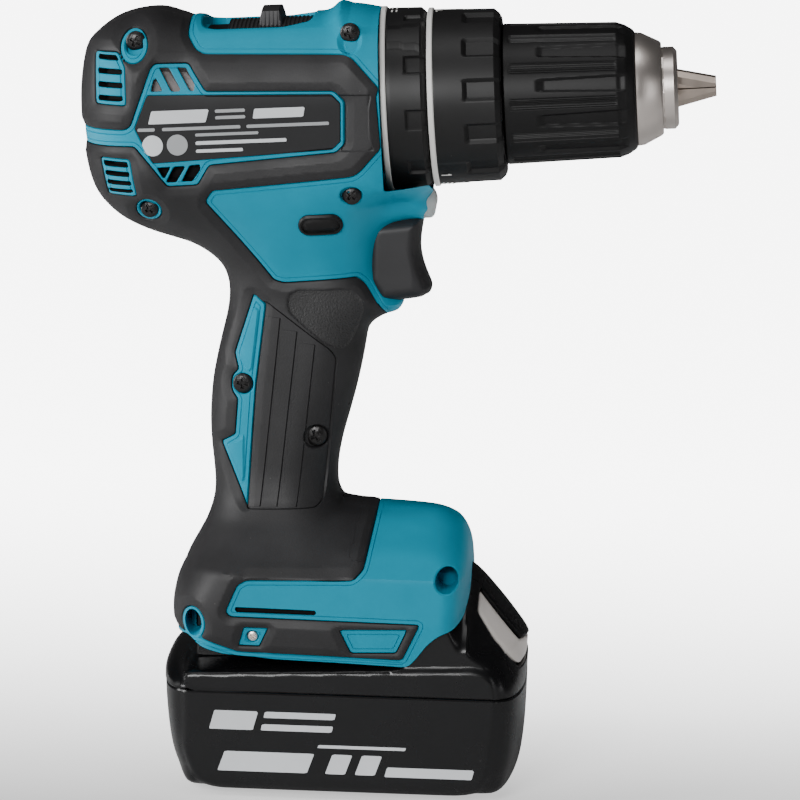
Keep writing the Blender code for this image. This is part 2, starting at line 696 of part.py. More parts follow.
# ---------------------------------------------------------------- motor
def make_motor():
    turned("stator", [
        (STATOR_BORE, STATOR_BACK), (STATOR_R - 3, STATOR_BACK), (STATOR_R - 3, STATOR_BACK + 4),
        (STATOR_R, STATOR_BACK + 4), (STATOR_R, STATOR_FRONT - 1), (STATOR_R - 3, STATOR_FRONT),
        (STATOR_BORE, STATOR_FRONT)], "copper")
    bearing_bore = SHAFT_R + GAP
    turned("motor_rear_bearing", ring_of(BEARING_R, bearing_bore, REAR_BEARING_BACK,
                                         REAR_BEARING_BACK + BEARING_LENGTH), "steel", steps=16)
    turned("motor_front_bearing", ring_of(BEARING_R, bearing_bore, FRONT_BEARING_BACK,
                                          FRONT_BEARING_BACK + BEARING_LENGTH), "steel", steps=16)
    turned("motor_bracket", [
        (BEARING_R + GAP, FRONT_BEARING_BACK), (BEARING_R + 3, FRONT_BEARING_BACK),
        (BEARING_R + 3, FRONT_BEARING_BACK + 1.5), (STATOR_R, FRONT_BEARING_BACK + 1.5),
        (STATOR_R, STATOR_FRONT + GAP), (GEAR_CASE_R, STATOR_FRONT + GAP),
        (GEAR_CASE_R, GEAR_CASE_BACK - GAP), (SHAFT_R + 2.2, GEAR_CASE_BACK - GAP),
        (SHAFT_R + 2.2, FRONT_BEARING_BACK + BEARING_LENGTH + GAP),
        (BEARING_R + GAP, FRONT_BEARING_BACK + BEARING_LENGTH + GAP)], "alloy")
    turned("rotor", [
        (0.0, REAR_BEARING_BACK + 0.2), (SHAFT_R, REAR_BEARING_BACK + 0.2), (SHAFT_R, STATOR_BACK - 1),
        (STATOR_BORE - 0.7, STATOR_BACK - 1), (STATOR_BORE - 0.7, STATOR_FRONT + 1),
        (SHAFT_R, STATOR_FRONT + 1), (SHAFT_R, SUN_FIRST[0] + 0.2), (0.0, SUN_FIRST[0] + 0.2)],
        "dark_steel", steps=16)
    pinion = gear_prism("pinion", SUN_TEETH, *SUN_FIRST)
    combine(bpy.data.objects["rotor"], pinion, "UNION")
    settled(bpy.data.objects["rotor"])
    fan = turned("fan", ring_of(7.0, SHAFT_R + GAP, FAN_BACK, FAN_FRONT), "black", steps=12)
    disc = turned("fan_disc", ring_of(FAN_R, 4.0, FAN_FRONT - 1.4, FAN_FRONT))
    combine(fan, disc, "UNION")
    for number in range(FAN_BLADES):
        turn = 2 * math.pi * number / FAN_BLADES
        blade = box(f"fan_blade_{number}", (5.5, -0.5, FAN_BACK), (FAN_R - 1.5, 0.5, FAN_FRONT - 0.5),
                    parent=AXIS)
        blade.rotation_euler = (0, 0, turn)
        combine(fan, blade, "UNION")
    settled(fan)


FAN_BACK, FAN_FRONT = -86.8, -80.4
FAN_R = 19.5
FAN_BLADES = 7


# ---------------------------------------------------------------- gears
SUN_FIRST = (-43.6, -37.6)
PLANET_WIDTHS = {"first": (-43.2, -37.6), "second": (-34.2, -23.2), "third": (-19.7, -13.1)}
CARRIER_DISCS = {"first": (-37.2, -34.6), "second": (-22.8, -20.1), "third": (-12.7, -9.9)}
RING_SPANS = {"first": (-43.7, -37.1), "second": (-28.2, -23.2), "third": (-20.0, -13.0)}
SUN_ENDS = {"first": -23.2, "second": -13.1}
ORBIT = GEAR_MODULE * (SUN_TEETH + PLANET_TEETH) / 2


def gear_outline(teeth, tip, root, tip_share, root_share):
    """Straight-sided teeth round a circle; shares are widths over the tooth pitch."""
    pitch = 2 * math.pi / teeth
    points = []
    for tooth in range(teeth):
        middle = tooth * pitch
        for radius, offset in ((root, -root_share), (tip, -tip_share), (tip, tip_share),
                               (root, root_share)):
            angle = middle + offset * pitch / 2
            points.append((radius * math.cos(angle), radius * math.sin(angle)))
    return points


def gear_prism(name, teeth, back, front, finish=None, parent=None, turn=0.0):
    """An outside gear; stations run along its frame's Z axis."""
    pitch_r = GEAR_MODULE * teeth / 2
    outline = gear_outline(teeth, pitch_r + 0.7 * GEAR_MODULE, pitch_r - 1.05 * GEAR_MODULE, 0.2, 0.62)
    turned_outline = [
        (x * math.cos(turn) - y * math.sin(turn), x * math.sin(turn) + y * math.cos(turn))
        for x, y in outline]
    return prism(name, turned_outline, back, front, finish, parent or AXIS, along="Z")


def make_ring_gears():
    pitch_r = GEAR_MODULE * RING_TEETH / 2
    outline = gear_outline(RING_TEETH, pitch_r + 1.05 * GEAR_MODULE, pitch_r - 0.7 * GEAR_MODULE,
                           0.42, 0.78)
    for stage, (back, front) in RING_SPANS.items():
        ring = turned(f"ring_gear_{stage}", ring_of(RING_GEAR_R, 8.0, back, front), "sintered")
        teeth = prism(f"ring_teeth_{stage}", outline, back - 2, front + 2, parent=AXIS, along="Z")
        combine(ring, teeth)
        settled(ring)


def make_planet_sets():
    for stage, (back, front) in PLANET_WIDTHS.items():
        disc_back, disc_front = CARRIER_DISCS[stage]
        carrier = turned(f"carrier_{stage}", [
            (0.0, disc_back), (CARRIER_R, disc_back), (CARRIER_R, disc_front), (0.0, disc_front)],
            "sintered")
        for number in range(PLANETS):
            turn = 2 * math.pi * number / PLANETS
            spot = (ORBIT * math.cos(turn), ORBIT * math.sin(turn))
            pin = cylinder(f"pin_{stage}_{number}", PIN_R, (*spot, back + 0.4),
                           (*spot, disc_back + 1), parent=AXIS, sides=8)
            combine(carrier, pin, "UNION")
            holder = new_empty(f"planet_axis_{stage}_{number + 1}", (*spot, 0), (0, 0, 0), AXIS)
            planet = gear_prism(f"planet_gear_{stage}_{number + 1}", PLANET_TEETH, back, front,
                                "sintered", holder, turn)
            hole = cylinder(f"planet_hole_{stage}_{number}", PIN_R + GAP, (*spot, back - 2),
                            (*spot, front + 2), parent=AXIS, sides=8)
            combine(planet, hole)
            settled(planet)
        if stage in SUN_ENDS:
            sun = gear_prism(f"sun_{stage}", SUN_TEETH, disc_front - 0.5, SUN_ENDS[stage])
            combine(carrier, sun, "UNION")
        else:
            hub = cylinder("carrier_hub", 8.0, (0, 0, disc_front - 0.5), (0, 0, SPINDLE_BACK - GAP),
                           parent=AXIS)
            combine(carrier, hub, "UNION")
        settled(carrier)


def make_gear_case():
    wall = GEAR_CASE_WALL
    inner = GEAR_CASE_R - wall
    bearing_front = SPINDLE_BEARING_BACK + SPINDLE_BEARING_LENGTH
    case = turned("gear_case", [
        (inner, GEAR_CASE_BACK), (GEAR_CASE_R, GEAR_CASE_BACK), (GEAR_CASE_R, GEAR_CASE_STEP),
        (GEAR_CASE_NOSE_R, GEAR_CASE_STEP), (GEAR_CASE_NOSE_R, GEAR_CASE_NOSE),
        (SPINDLE_R + 1.5, GEAR_CASE_NOSE), (SPINDLE_R + 1.5, bearing_front + GAP),
        (SPINDLE_BEARING_R + GAP, bearing_front + GAP),
        (SPINDLE_BEARING_R + GAP, SPINDLE_BEARING_BACK - 4), (inner - 4, SPINDLE_BEARING_BACK - 4),
        (inner - 4, 4.0), (inner, 0.0)], "alloy")
    slot = box("case_slot", (ARM_BACK - SELECTOR_TRAVEL - 0.6, -ARM_WIDTH - 0.5, 12),
               (ARM_FRONT + 0.6, ARM_WIDTH + 0.5, 30), parent=TOOL)
    combine(case, slot)
    settled(case)
    turned("spindle_bearing", ring_of(SPINDLE_BEARING_R, SPINDLE_R + GAP, SPINDLE_BEARING_BACK,
                                      bearing_front), "steel", steps=16)
    turned("spindle", [
        (0.0, SPINDLE_BACK), (9.0, SPINDLE_BACK), (9.0, SPINDLE_BACK + 4), (SPINDLE_R, SPINDLE_BACK + 5),
        (SPINDLE_R, SPINDLE_FRONT - 1), (SPINDLE_R - 1, SPINDLE_FRONT), (0.0, SPINDLE_FRONT)],
        "steel", steps=16)


# ---------------------------------------------------------------- clutch rings
def make_rings():
    mode = turned("mode_ring", [
        (GEAR_CASE_R + GAP, MODE_RING_BACK), (MODE_RING_R, MODE_RING_BACK),
        (MODE_RING_R, MODE_RING_FRONT - 1.8), (MODE_RING_R - 1.2, MODE_RING_FRONT),
        (GEAR_CASE_R + GAP, MODE_RING_FRONT)], "black")
    for number in range(RING_NOTCHES):
        turn = 2 * math.pi * number / RING_NOTCHES
        notch = box(f"mode_notch_{number}", (MODE_RING_R - 0.8, -2.2, MODE_RING_BACK + 3),
                    (MODE_RING_R + 2, 2.2, MODE_RING_FRONT - 3), parent=AXIS)
        notch.rotation_euler = (0, 0, turn)
        combine(mode, notch)
    settled(mode)
    back = MODE_RING_FRONT + 0.4
    torque = turned("torque_ring", [
        (NUT_R + GAP, back), (TORQUE_RING_R, back), (TORQUE_RING_R - 0.8, TORQUE_RING_FRONT - 2),
        (TORQUE_RING_R - 2, TORQUE_RING_FRONT), (SPINDLE_BEARING_R, TORQUE_RING_FRONT),
        (SPINDLE_BEARING_R, GEAR_CASE_NOSE + GAP), (NUT_R + GAP, GEAR_CASE_NOSE + GAP)],
        "black")
    for number in range(RING_NOTCHES):
        turn = 2 * math.pi * (number + 0.5) / RING_NOTCHES
        notch = box(f"torque_notch_{number}", (TORQUE_RING_R - 1.6, -3.0, 19.0),
                    (TORQUE_RING_R + 2, 3.0, 30.5), parent=AXIS)
        notch.rotation_euler = (0, 0, turn)
        combine(torque, notch)
    settled(torque)
    turned("spring_nut", ring_of(NUT_R, GEAR_CASE_NOSE_R + GAP, NUT_BACK, NUT_FRONT), "sintered")
    coil(CLUTCH_COIL, "clutch_spring", AXIS)


NUT_R = 23.4
NUT_BACK, NUT_FRONT = 24.5, 27.5
CLUTCH_COIL = {"radius": 21.4, "wire": SPRING_WIRE_R, "low": 8.9, "high": 24.2, "turns": 3, "sides": 12}
BUTTON_COIL = {"radius": 2.4, "wire": 0.4, "low": 42.6, "high": 47.6, "turns": 4, "sides": 8}


def coil(sizes, name, parent, place=(0.0, 0.0)):
    """A round wire wound along its frame's Z axis."""
    count = sizes["turns"] * sizes["sides"]
    curve = bpy.data.curves.new(name, "CURVE")
    curve.dimensions = "3D"
    curve.bevel_depth = sizes["wire"] * MM
    curve.bevel_resolution = 0
    curve.use_fill_caps = True
    curve.resolution_u = 1
    line = curve.splines.new("POLY")
    line.points.add(count)
    low, high = sizes["low"] + sizes["wire"], sizes["high"] - sizes["wire"]
    for k in range(count + 1):
        turn = 2 * math.pi * k / sizes["sides"]
        x = place[0] + sizes["radius"] * math.cos(turn)
        y = place[1] + sizes["radius"] * math.sin(turn)
        line.points[k].co = (x * MM, y * MM, (low + (high - low) * k / count) * MM, 1.0)
    wire = bpy.data.objects.new(name, curve)
    wire.parent = parent
    PARTS.objects.link(wire)
    curve.materials.append(finish_material("steel"))


# ---------------------------------------------------------------- chuck
def jaw_line(turn):
    """The inner and outer ends of a jaw's centre line, in the spindle frame."""
    tip = Vector((JAW_TIP_OFFSET, 0, JAW_TIP))
    back = Vector((math.sin(JAW_TILT), 0, -math.cos(JAW_TILT)))
    spin = Matrix.Rotation(turn, 3, "Z")
    return spin @ tip, spin @ back


def make_chuck():
    body = turned("chuck_body", [
        (SPINDLE_R + GAP, SLEEVE_BACK + 0.6), (16.5, SLEEVE_BACK + 0.6), (17.8, 36.5), (17.8, 59.0),
        (11.6, 59.0), (11.6, 66.6), (13.0, 66.6), (13.0, CAP_FRONT), (12.0, CAP_FRONT + 0.2),
        (12.0, CAP_FRONT + 0.7), (NOSE_R, CAP_FRONT + 0.9), (NOSE_R, NOSE_FRONT - 1.4),
        (NOSE_R - 1.4, NOSE_FRONT), (6.6, NOSE_FRONT), (6.6, SPINDLE_FRONT + 3),
        (SPINDLE_R + GAP, SPINDLE_FRONT + 3)], "steel")
    for number in range(JAW_COUNT):
        turn = JAW_START + 2 * math.pi * number / JAW_COUNT
        tip, back = jaw_line(turn)
        hole = cylinder(f"jaw_hole_{number}", JAW_R + GAP, tip + back * (JAW_LENGTH + 23.2),
                        tip - back * 6, parent=AXIS, sides=10)
        combine(body, hole)
        rear = tip + back * JAW_LENGTH
        jaw = cylinder(f"chuck_jaw_{number + 1}", JAW_R, rear, tip - back * 4, "dark_steel", AXIS, 10)
        reach = 40.0
        apex = Matrix.Rotation(turn, 3, "Z") @ Vector((0.2, 0, 0))
        corners = [apex] + [
            apex + Matrix.Rotation(turn + swing, 3, "Z") @ Vector((reach, 0, 0))
            for swing in (-math.pi / 3, 0.0, math.pi / 3)]
        wedge = prism(f"jaw_wedge_{number}", [(c.x, c.y) for c in corners], 20, JAW_TIP, parent=AXIS,
                      along="Z")
        combine(jaw, wedge, "INTERSECT")
        settled(jaw)
    settled(body)
    bore_back, bore_front = 60.2, 66.0
    reach = JAW_R / math.cos(JAW_TILT) + 0.35
    spot = [JAW_TIP_OFFSET + (JAW_TIP - s) * math.tan(JAW_TILT) + reach for s in (bore_back, bore_front)]
    turned("chuck_nut", [(spot[0], bore_back), (SLEEVE_BORE - GAP, bore_back),
                         (SLEEVE_BORE - GAP, bore_front), (spot[1], bore_front)], "sintered")
    sleeve = turned("chuck_sleeve", [
        (SLEEVE_BORE, SLEEVE_BACK), (SLEEVE_R - 0.6, SLEEVE_BACK), (SLEEVE_R, SLEEVE_BACK + 1),
        (SLEEVE_R - 1.0, SLEEVE_FRONT - 5), (SLEEVE_R - 2.2, SLEEVE_FRONT - 1.6),
        (CAP_R + 0.3, SLEEVE_FRONT), (CAP_R - 1.2, SLEEVE_FRONT), (CAP_R - 1.2, 67.6),
        (SLEEVE_BORE, 67.6)], "black")
    for number in range(SLEEVE_FLUTES):
        turn = 2 * math.pi * number / SLEEVE_FLUTES
        flute = box(f"sleeve_flute_{number}", (SLEEVE_R - 1.3, -2.4, SLEEVE_BACK + 9),
                    (SLEEVE_R + 2, 2.4, SLEEVE_FRONT - 7), parent=AXIS)
        flute.rotation_euler = (0, 0, turn)
        combine(sleeve, flute)
    settled(sleeve)
    inner = 13.0 + GAP
    turned("chuck_cap", [
        (inner, 67.8), (CAP_R - 1.5, 67.8), (CAP_R - 1.5, SLEEVE_FRONT + GAP),
        (CAP_R, SLEEVE_FRONT + GAP), (CAP_R, SLEEVE_FRONT + 2), (CAP_R - 3.6, CAP_FRONT),
        (inner, CAP_FRONT)], "steel")


JAW_START = math.radians(-30.0)


# ---------------------------------------------------------------- battery
CASE_SECTIONS = [
    (0.0, -56.0, 34.0, BATTERY_WIDTH - 1.6),
    (4.0, -62.0, 40.4, BATTERY_WIDTH - 0.6),
    (10.5, -65.4, 43.8, BATTERY_WIDTH),
    (BATTERY_SEAM, BATTERY_BACK, BATTERY_FRONT - 0.3, BATTERY_WIDTH),
]
COVER_SECTIONS = [
    (BATTERY_SEAM, BATTERY_BACK, BATTERY_FRONT - 0.3, BATTERY_WIDTH),
    (39.0, BATTERY_BACK, BATTERY_FRONT, BATTERY_WIDTH),
    (BATTERY_DECK, BATTERY_BACK + 2.6, BATTERY_FRONT - 1.5, BATTERY_WIDTH - 2.4),
]
HUMP_SECTIONS = [
    (BATTERY_DECK - 4.0, 0.0, BATTERY_FRONT, BATTERY_WIDTH - 3.0),
    (47.5, 4.0, BATTERY_FRONT - 0.2, BATTERY_WIDTH - 5.0),
    (57.0, 10.0, 38.4, BATTERY_WIDTH - 10.0),
    (65.0, 14.0, 31.0, BATTERY_WIDTH - 17.0),
    (69.4, 16.0, 27.4, BATTERY_WIDTH - 24.0),
]
BUTTON_TRAVEL = 4.0
BUTTON_WIDTH = 13.0
BUTTON_BACK = 29.0
BUTTON_LOW = 48.0
BUTTON_HIGH = 62.0
BUTTON_SHOWS = 52.5
BUTTON_SPRING_X = 34.0


def make_battery():
    power = BATTERY_SQUARENESS
    case = loft("battery_case", upright_rings(0.0, CASE_SECTIONS, power, BATTERY_FACETS), "gloss")
    combine(case, loft("case_room", upright_rings(
        BATTERY_WALL, CASE_SECTIONS, power, BATTERY_FACETS, -BATTERY_WALL, 6.0)))
    settled(case)
    cover = loft("battery_cover", upright_rings(0.0, COVER_SECTIONS, power, BATTERY_FACETS, -GAP), "gloss")
    combine(cover, loft("battery_hump", upright_rings(0.0, HUMP_SECTIONS, 2.6, BATTERY_FACETS)), "UNION")
    foot_room = loft("foot_room", upright_rings(-0.4, FOOT_SECTIONS, 4.0, FOOT_FACETS, -1.0, -0.4))
    combine(cover, foot_room)
    neck = box("tongue_neck", (TONGUE_BACK, -TONGUE_NECK, BATTERY_DECK - 1),
               (TONGUE_FRONT, TONGUE_NECK, TONGUE_LEDGE + 1))
    flange = box("tongue_flange", (TONGUE_BACK, -TONGUE_FLANGE, TONGUE_LEDGE),
                 (TONGUE_FRONT, TONGUE_FLANGE, TONGUE_TOP))
    combine(cover, neck, "UNION")
    combine(cover, flange, "UNION")
    room = loft("cover_room", upright_rings(
        BATTERY_WALL, COVER_SECTIONS[:2], power, BATTERY_FACETS, 2.0))
    combine(cover, room)
    tongue_room = box("tongue_room", (TONGUE_BACK + 2.5, -TONGUE_NECK + 2.5, BATTERY_SEAM),
                      (10.0, TONGUE_NECK - 2.5, TONGUE_TOP - 2.4))
    combine(cover, tongue_room)
    for y in (-9.0, 9.0):
        slit = box(f"terminal_slit{y:.0f}", (TONGUE_BACK - 1, y - 1.1, TONGUE_LEDGE - 0.6),
                   (-26.0, y + 1.1, TONGUE_TOP + 1))
        combine(cover, slit)
    button_room = box("button_room", (BUTTON_BACK - 0.4, -BUTTON_WIDTH - 0.4, BUTTON_LOW - BUTTON_TRAVEL - 0.6),
                      (BATTERY_FRONT + 5, BUTTON_WIDTH + 0.4, BUTTON_HIGH + 20))
    lip = box("button_lip", (BATTERY_FRONT - 4.0, -60, 0), (BATTERY_FRONT + 6, 60, BUTTON_SHOWS))
    combine(button_room, lip)
    combine(cover, settled(button_room))
    well = cylinder("spring_well", 3.4, (BUTTON_SPRING_X, 0, 42.2), (BUTTON_SPRING_X, 0, 52), sides=12)
    combine(cover, well)
    settled(cover)
    button = loft("battery_button", upright_rings(-0.25, HUMP_SECTIONS, 2.6, BATTERY_FACETS), "light_grey")
    frame = box("button_frame", (BUTTON_BACK, -BUTTON_WIDTH, BUTTON_LOW),
                (BATTERY_FRONT - 4.4, BUTTON_WIDTH, BUTTON_HIGH))
    combine(button, frame, "INTERSECT")
    settled(button)
    coil(BUTTON_COIL, "button_spring", None, (BUTTON_SPRING_X, 0.0))
    make_cells()


def make_cells():
    middle = (BATTERY_BACK + BATTERY_FRONT) / 2 - 0.4
    low = BATTERY_WALL + 1.0 + CELL_R
    high = low + 2 * CELL_R + 0.2
    reach = CELL_PITCH * (CELL_COLUMNS - 1) / 2
    pack = box("cell_pack", (middle - reach - 5, -CELL_LENGTH / 2 + 4, low - 4),
               (middle + reach + 5, CELL_LENGTH / 2 - 4, high + 4), "cell")
    for column in range(CELL_COLUMNS):
        x = middle + (column - (CELL_COLUMNS - 1) / 2) * CELL_PITCH
        for z in (low, high):
            cell = cylinder(f"cell_{column}_{z:.0f}", CELL_R, (x, -CELL_LENGTH / 2, z),
                            (x, CELL_LENGTH / 2, z), sides=10)
            combine(pack, cell, "UNION")
    settled(pack)
    box("battery_board", (-50.0, -15.0, high + CELL_R + 0.3), (8.0, 15.0, high + CELL_R + 1.9), "board")


# ---------------------------------------------------------------- the drill
def build():
    make_casings_and_grips()
    make_screws()
    make_controls()
    make_electrics()
    make_motor()
    make_ring_gears()
    make_planet_sets()
    make_gear_case()
    make_rings()
    make_chuck()
    make_battery()


build()
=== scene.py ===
"""A cordless hammer drill on its slide-on battery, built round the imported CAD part.

Sizes are in millimetres in the drill's frame: x towards the chuck, y to the left, z up. The head is
described in the tool frame (u, w): u runs along the spindle axis and w stands square to it.
"""

import logging
import math
from dataclasses import dataclass, field
from enum import Enum
from typing import Any, Callable, Iterable, Optional, Sequence

import bpy
import numpy as np
from mathutils import Matrix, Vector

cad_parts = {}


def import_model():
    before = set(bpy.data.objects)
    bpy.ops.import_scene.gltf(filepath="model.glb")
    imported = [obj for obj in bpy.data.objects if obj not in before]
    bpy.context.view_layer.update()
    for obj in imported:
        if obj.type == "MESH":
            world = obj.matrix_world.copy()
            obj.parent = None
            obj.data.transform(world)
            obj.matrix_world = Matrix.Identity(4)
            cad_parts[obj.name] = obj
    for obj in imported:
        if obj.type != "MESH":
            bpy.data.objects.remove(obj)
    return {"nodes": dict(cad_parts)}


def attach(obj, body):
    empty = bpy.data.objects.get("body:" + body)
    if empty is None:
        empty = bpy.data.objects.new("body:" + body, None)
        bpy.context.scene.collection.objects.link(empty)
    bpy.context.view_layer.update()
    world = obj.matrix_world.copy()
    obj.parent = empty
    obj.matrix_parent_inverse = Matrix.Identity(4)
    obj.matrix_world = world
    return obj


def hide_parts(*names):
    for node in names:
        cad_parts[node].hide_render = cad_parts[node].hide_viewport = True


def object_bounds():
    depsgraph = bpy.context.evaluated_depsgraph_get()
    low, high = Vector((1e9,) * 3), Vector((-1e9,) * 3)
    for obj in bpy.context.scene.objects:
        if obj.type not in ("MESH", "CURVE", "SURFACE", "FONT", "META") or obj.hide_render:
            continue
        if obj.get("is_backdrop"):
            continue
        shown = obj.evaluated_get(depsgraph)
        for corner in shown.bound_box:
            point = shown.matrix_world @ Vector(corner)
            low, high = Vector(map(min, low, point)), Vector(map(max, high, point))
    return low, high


LOG = logging.getLogger("drill")
MM = 0.001
TILT = math.radians(3.9)
AXIS_HEIGHT = 214.5
Points = Sequence[tuple[float, ...]]
Table = tuple[tuple[float, ...], tuple[float, ...]]


class Side(Enum):
    """Which half of the drill a sheet stands on."""

    RIGHT = -1.0
    LEFT = 1.0


class Grain(Enum):
    """A surface's fine texture: cells to the metre, the bump's strength, and its depth in metres."""

    SMOOTH = (0.0, 0.0, 0.0)
    SATIN = (2600.0, 0.10, 0.00010)
    RUBBER = (2200.0, 0.28, 0.00016)
    LEATHER = (1700.0, 0.9, 0.00045)
    LATHE = (2400.0, 0.22, 0.00008)
    CAST = (900.0, 0.45, 0.00030)


@dataclass(frozen=True)
class Finish:
    """What a material looks like.

    Args:
        name: The material's name.
        colour: Linear red, green and blue.
        roughness: Principled roughness.
        metal: Principled metallic.
        grain: The fine texture.
        mottle: How much the roughness varies over the surface, from 0 to 1.
        shade: How much the colour varies over the surface, from 0 to 1.
        specular: Principled specular level.
        clear: Transmission weight.
        dust: How pale the specks of dust on it are, from 0 to 1.
        wear: How much its sharp convex edges are lightened as a painted highlight, from 0 to 1.
    """

    name: str
    colour: tuple[float, float, float]
    roughness: float = 0.5
    metal: float = 0.0
    grain: Grain = Grain.SATIN
    mottle: float = 0.08
    shade: float = 0.12
    specular: float = 0.5
    clear: float = 0.0
    dust: float = 0.0
    # How much sharp convex edges are lightened: a painted edge highlight.
    wear: float = 0.0


TEAL = Finish("teal nylon", (0.0, 0.24, 0.358), 0.50, specular=0.12, shade=0.07, dust=0.15)
RUBBER = Finish("grip elastomer", (0.0145, 0.014, 0.015), 0.54, grain=Grain.RUBBER, mottle=0.2, shade=0.3,
                specular=0.42, dust=0.5)
LEATHER = Finish("grained elastomer", (0.022, 0.0215, 0.022), 0.58, grain=Grain.LEATHER, mottle=0.2,
                 shade=0.3, specular=0.42, dust=0.3)
LABEL = Finish("label film", (0.010, 0.010, 0.011), 0.50, grain=Grain.SMOOTH, specular=0.25)
MARKS = Finish("printed marks", (0.58, 0.60, 0.62), 0.5, grain=Grain.SMOOTH, shade=0.05)
PALE_MARKS = Finish("pale printed marks", (0.30, 0.31, 0.32), 0.5, grain=Grain.SMOOTH, shade=0.05)
CASE = Finish("battery plastic", (0.0035, 0.0035, 0.0040), 0.27, mottle=0.12, shade=0.2, specular=0.42,
              dust=0.35)
# RING, SLEEVE, NICKEL and SCREW get their sharp convex edges lightened: a painted edge highlight.
RING = Finish("ring plastic", (0.008, 0.0078, 0.008), 0.44, mottle=0.12, shade=0.2, specular=0.36, dust=0.4,
              wear=0.25)
SLEEVE = Finish("sleeve plastic", (0.0045, 0.0043, 0.0045), 0.43, mottle=0.12, shade=0.2, specular=0.32,
                dust=0.4, wear=0.25)
WHITE = Finish("white band", (0.74, 0.73, 0.70), 0.4, grain=Grain.SMOOTH, shade=0.04)
NICKEL = Finish("satin nickel", (0.84, 0.77, 0.72), 0.36, 1.0, Grain.LATHE, mottle=0.2, shade=0.12, wear=0.3)
JAW = Finish("hardened steel", (0.62, 0.53, 0.46), 0.36, 1.0, Grain.LATHE, mottle=0.25, shade=0.3)
SCREW = Finish("black screw", (0.014, 0.013, 0.013), 0.33, 0.35, Grain.CAST, shade=0.2, wear=0.2)
DARK = Finish("shaded interior", (0.003, 0.003, 0.003), 0.8, specular=0.2)
INTERIOR = Finish("motor seen through the vents", (0.16, 0.15, 0.15), 0.55, 0.4, Grain.CAST, mottle=0.6,
                  shade=0.7)
GREY = Finish("light grey plastic", (0.60, 0.56, 0.53), 0.42, shade=0.06)
LENS = Finish("lamp lens", (0.80, 0.82, 0.80), 0.12, grain=Grain.SMOOTH, clear=0.55)
TRIGGER = Finish("trigger plastic", (0.018, 0.0175, 0.019), 0.50, mottle=0.12, shade=0.2, specular=0.45,
                 dust=0.3)
CAST = Finish("as-cast alloy", (0.46, 0.46, 0.47), 0.42, 1.0, Grain.CAST, mottle=0.25, shade=0.15)
SINTERED = Finish("sintered steel", (0.26, 0.25, 0.24), 0.50, 1.0, Grain.CAST, mottle=0.25, shade=0.2)
WINDINGS = Finish("enamelled copper", (0.42, 0.15, 0.05), 0.34, 0.8, Grain.LATHE, mottle=0.25, shade=0.35)
BOARD = Finish("circuit board", (0.012, 0.10, 0.035), 0.40, shade=0.3)
CELLS = Finish("cell wrap", (0.02, 0.10, 0.22), 0.35, grain=Grain.SMOOTH, shade=0.15)
CARRIED = {"teal_nylon": TEAL, "grip_elastomer": RUBBER, "black_plastic": RING, "battery_plastic": CASE,
           "steel": NICKEL, "dark_steel": JAW, "blackened_screw": SCREW, "die_cast": CAST,
           "windings": WINDINGS, "sintered_steel": SINTERED, "lens": LENS, "light_grey": GREY,
           "circuit_board": BOARD, "cells": CELLS}


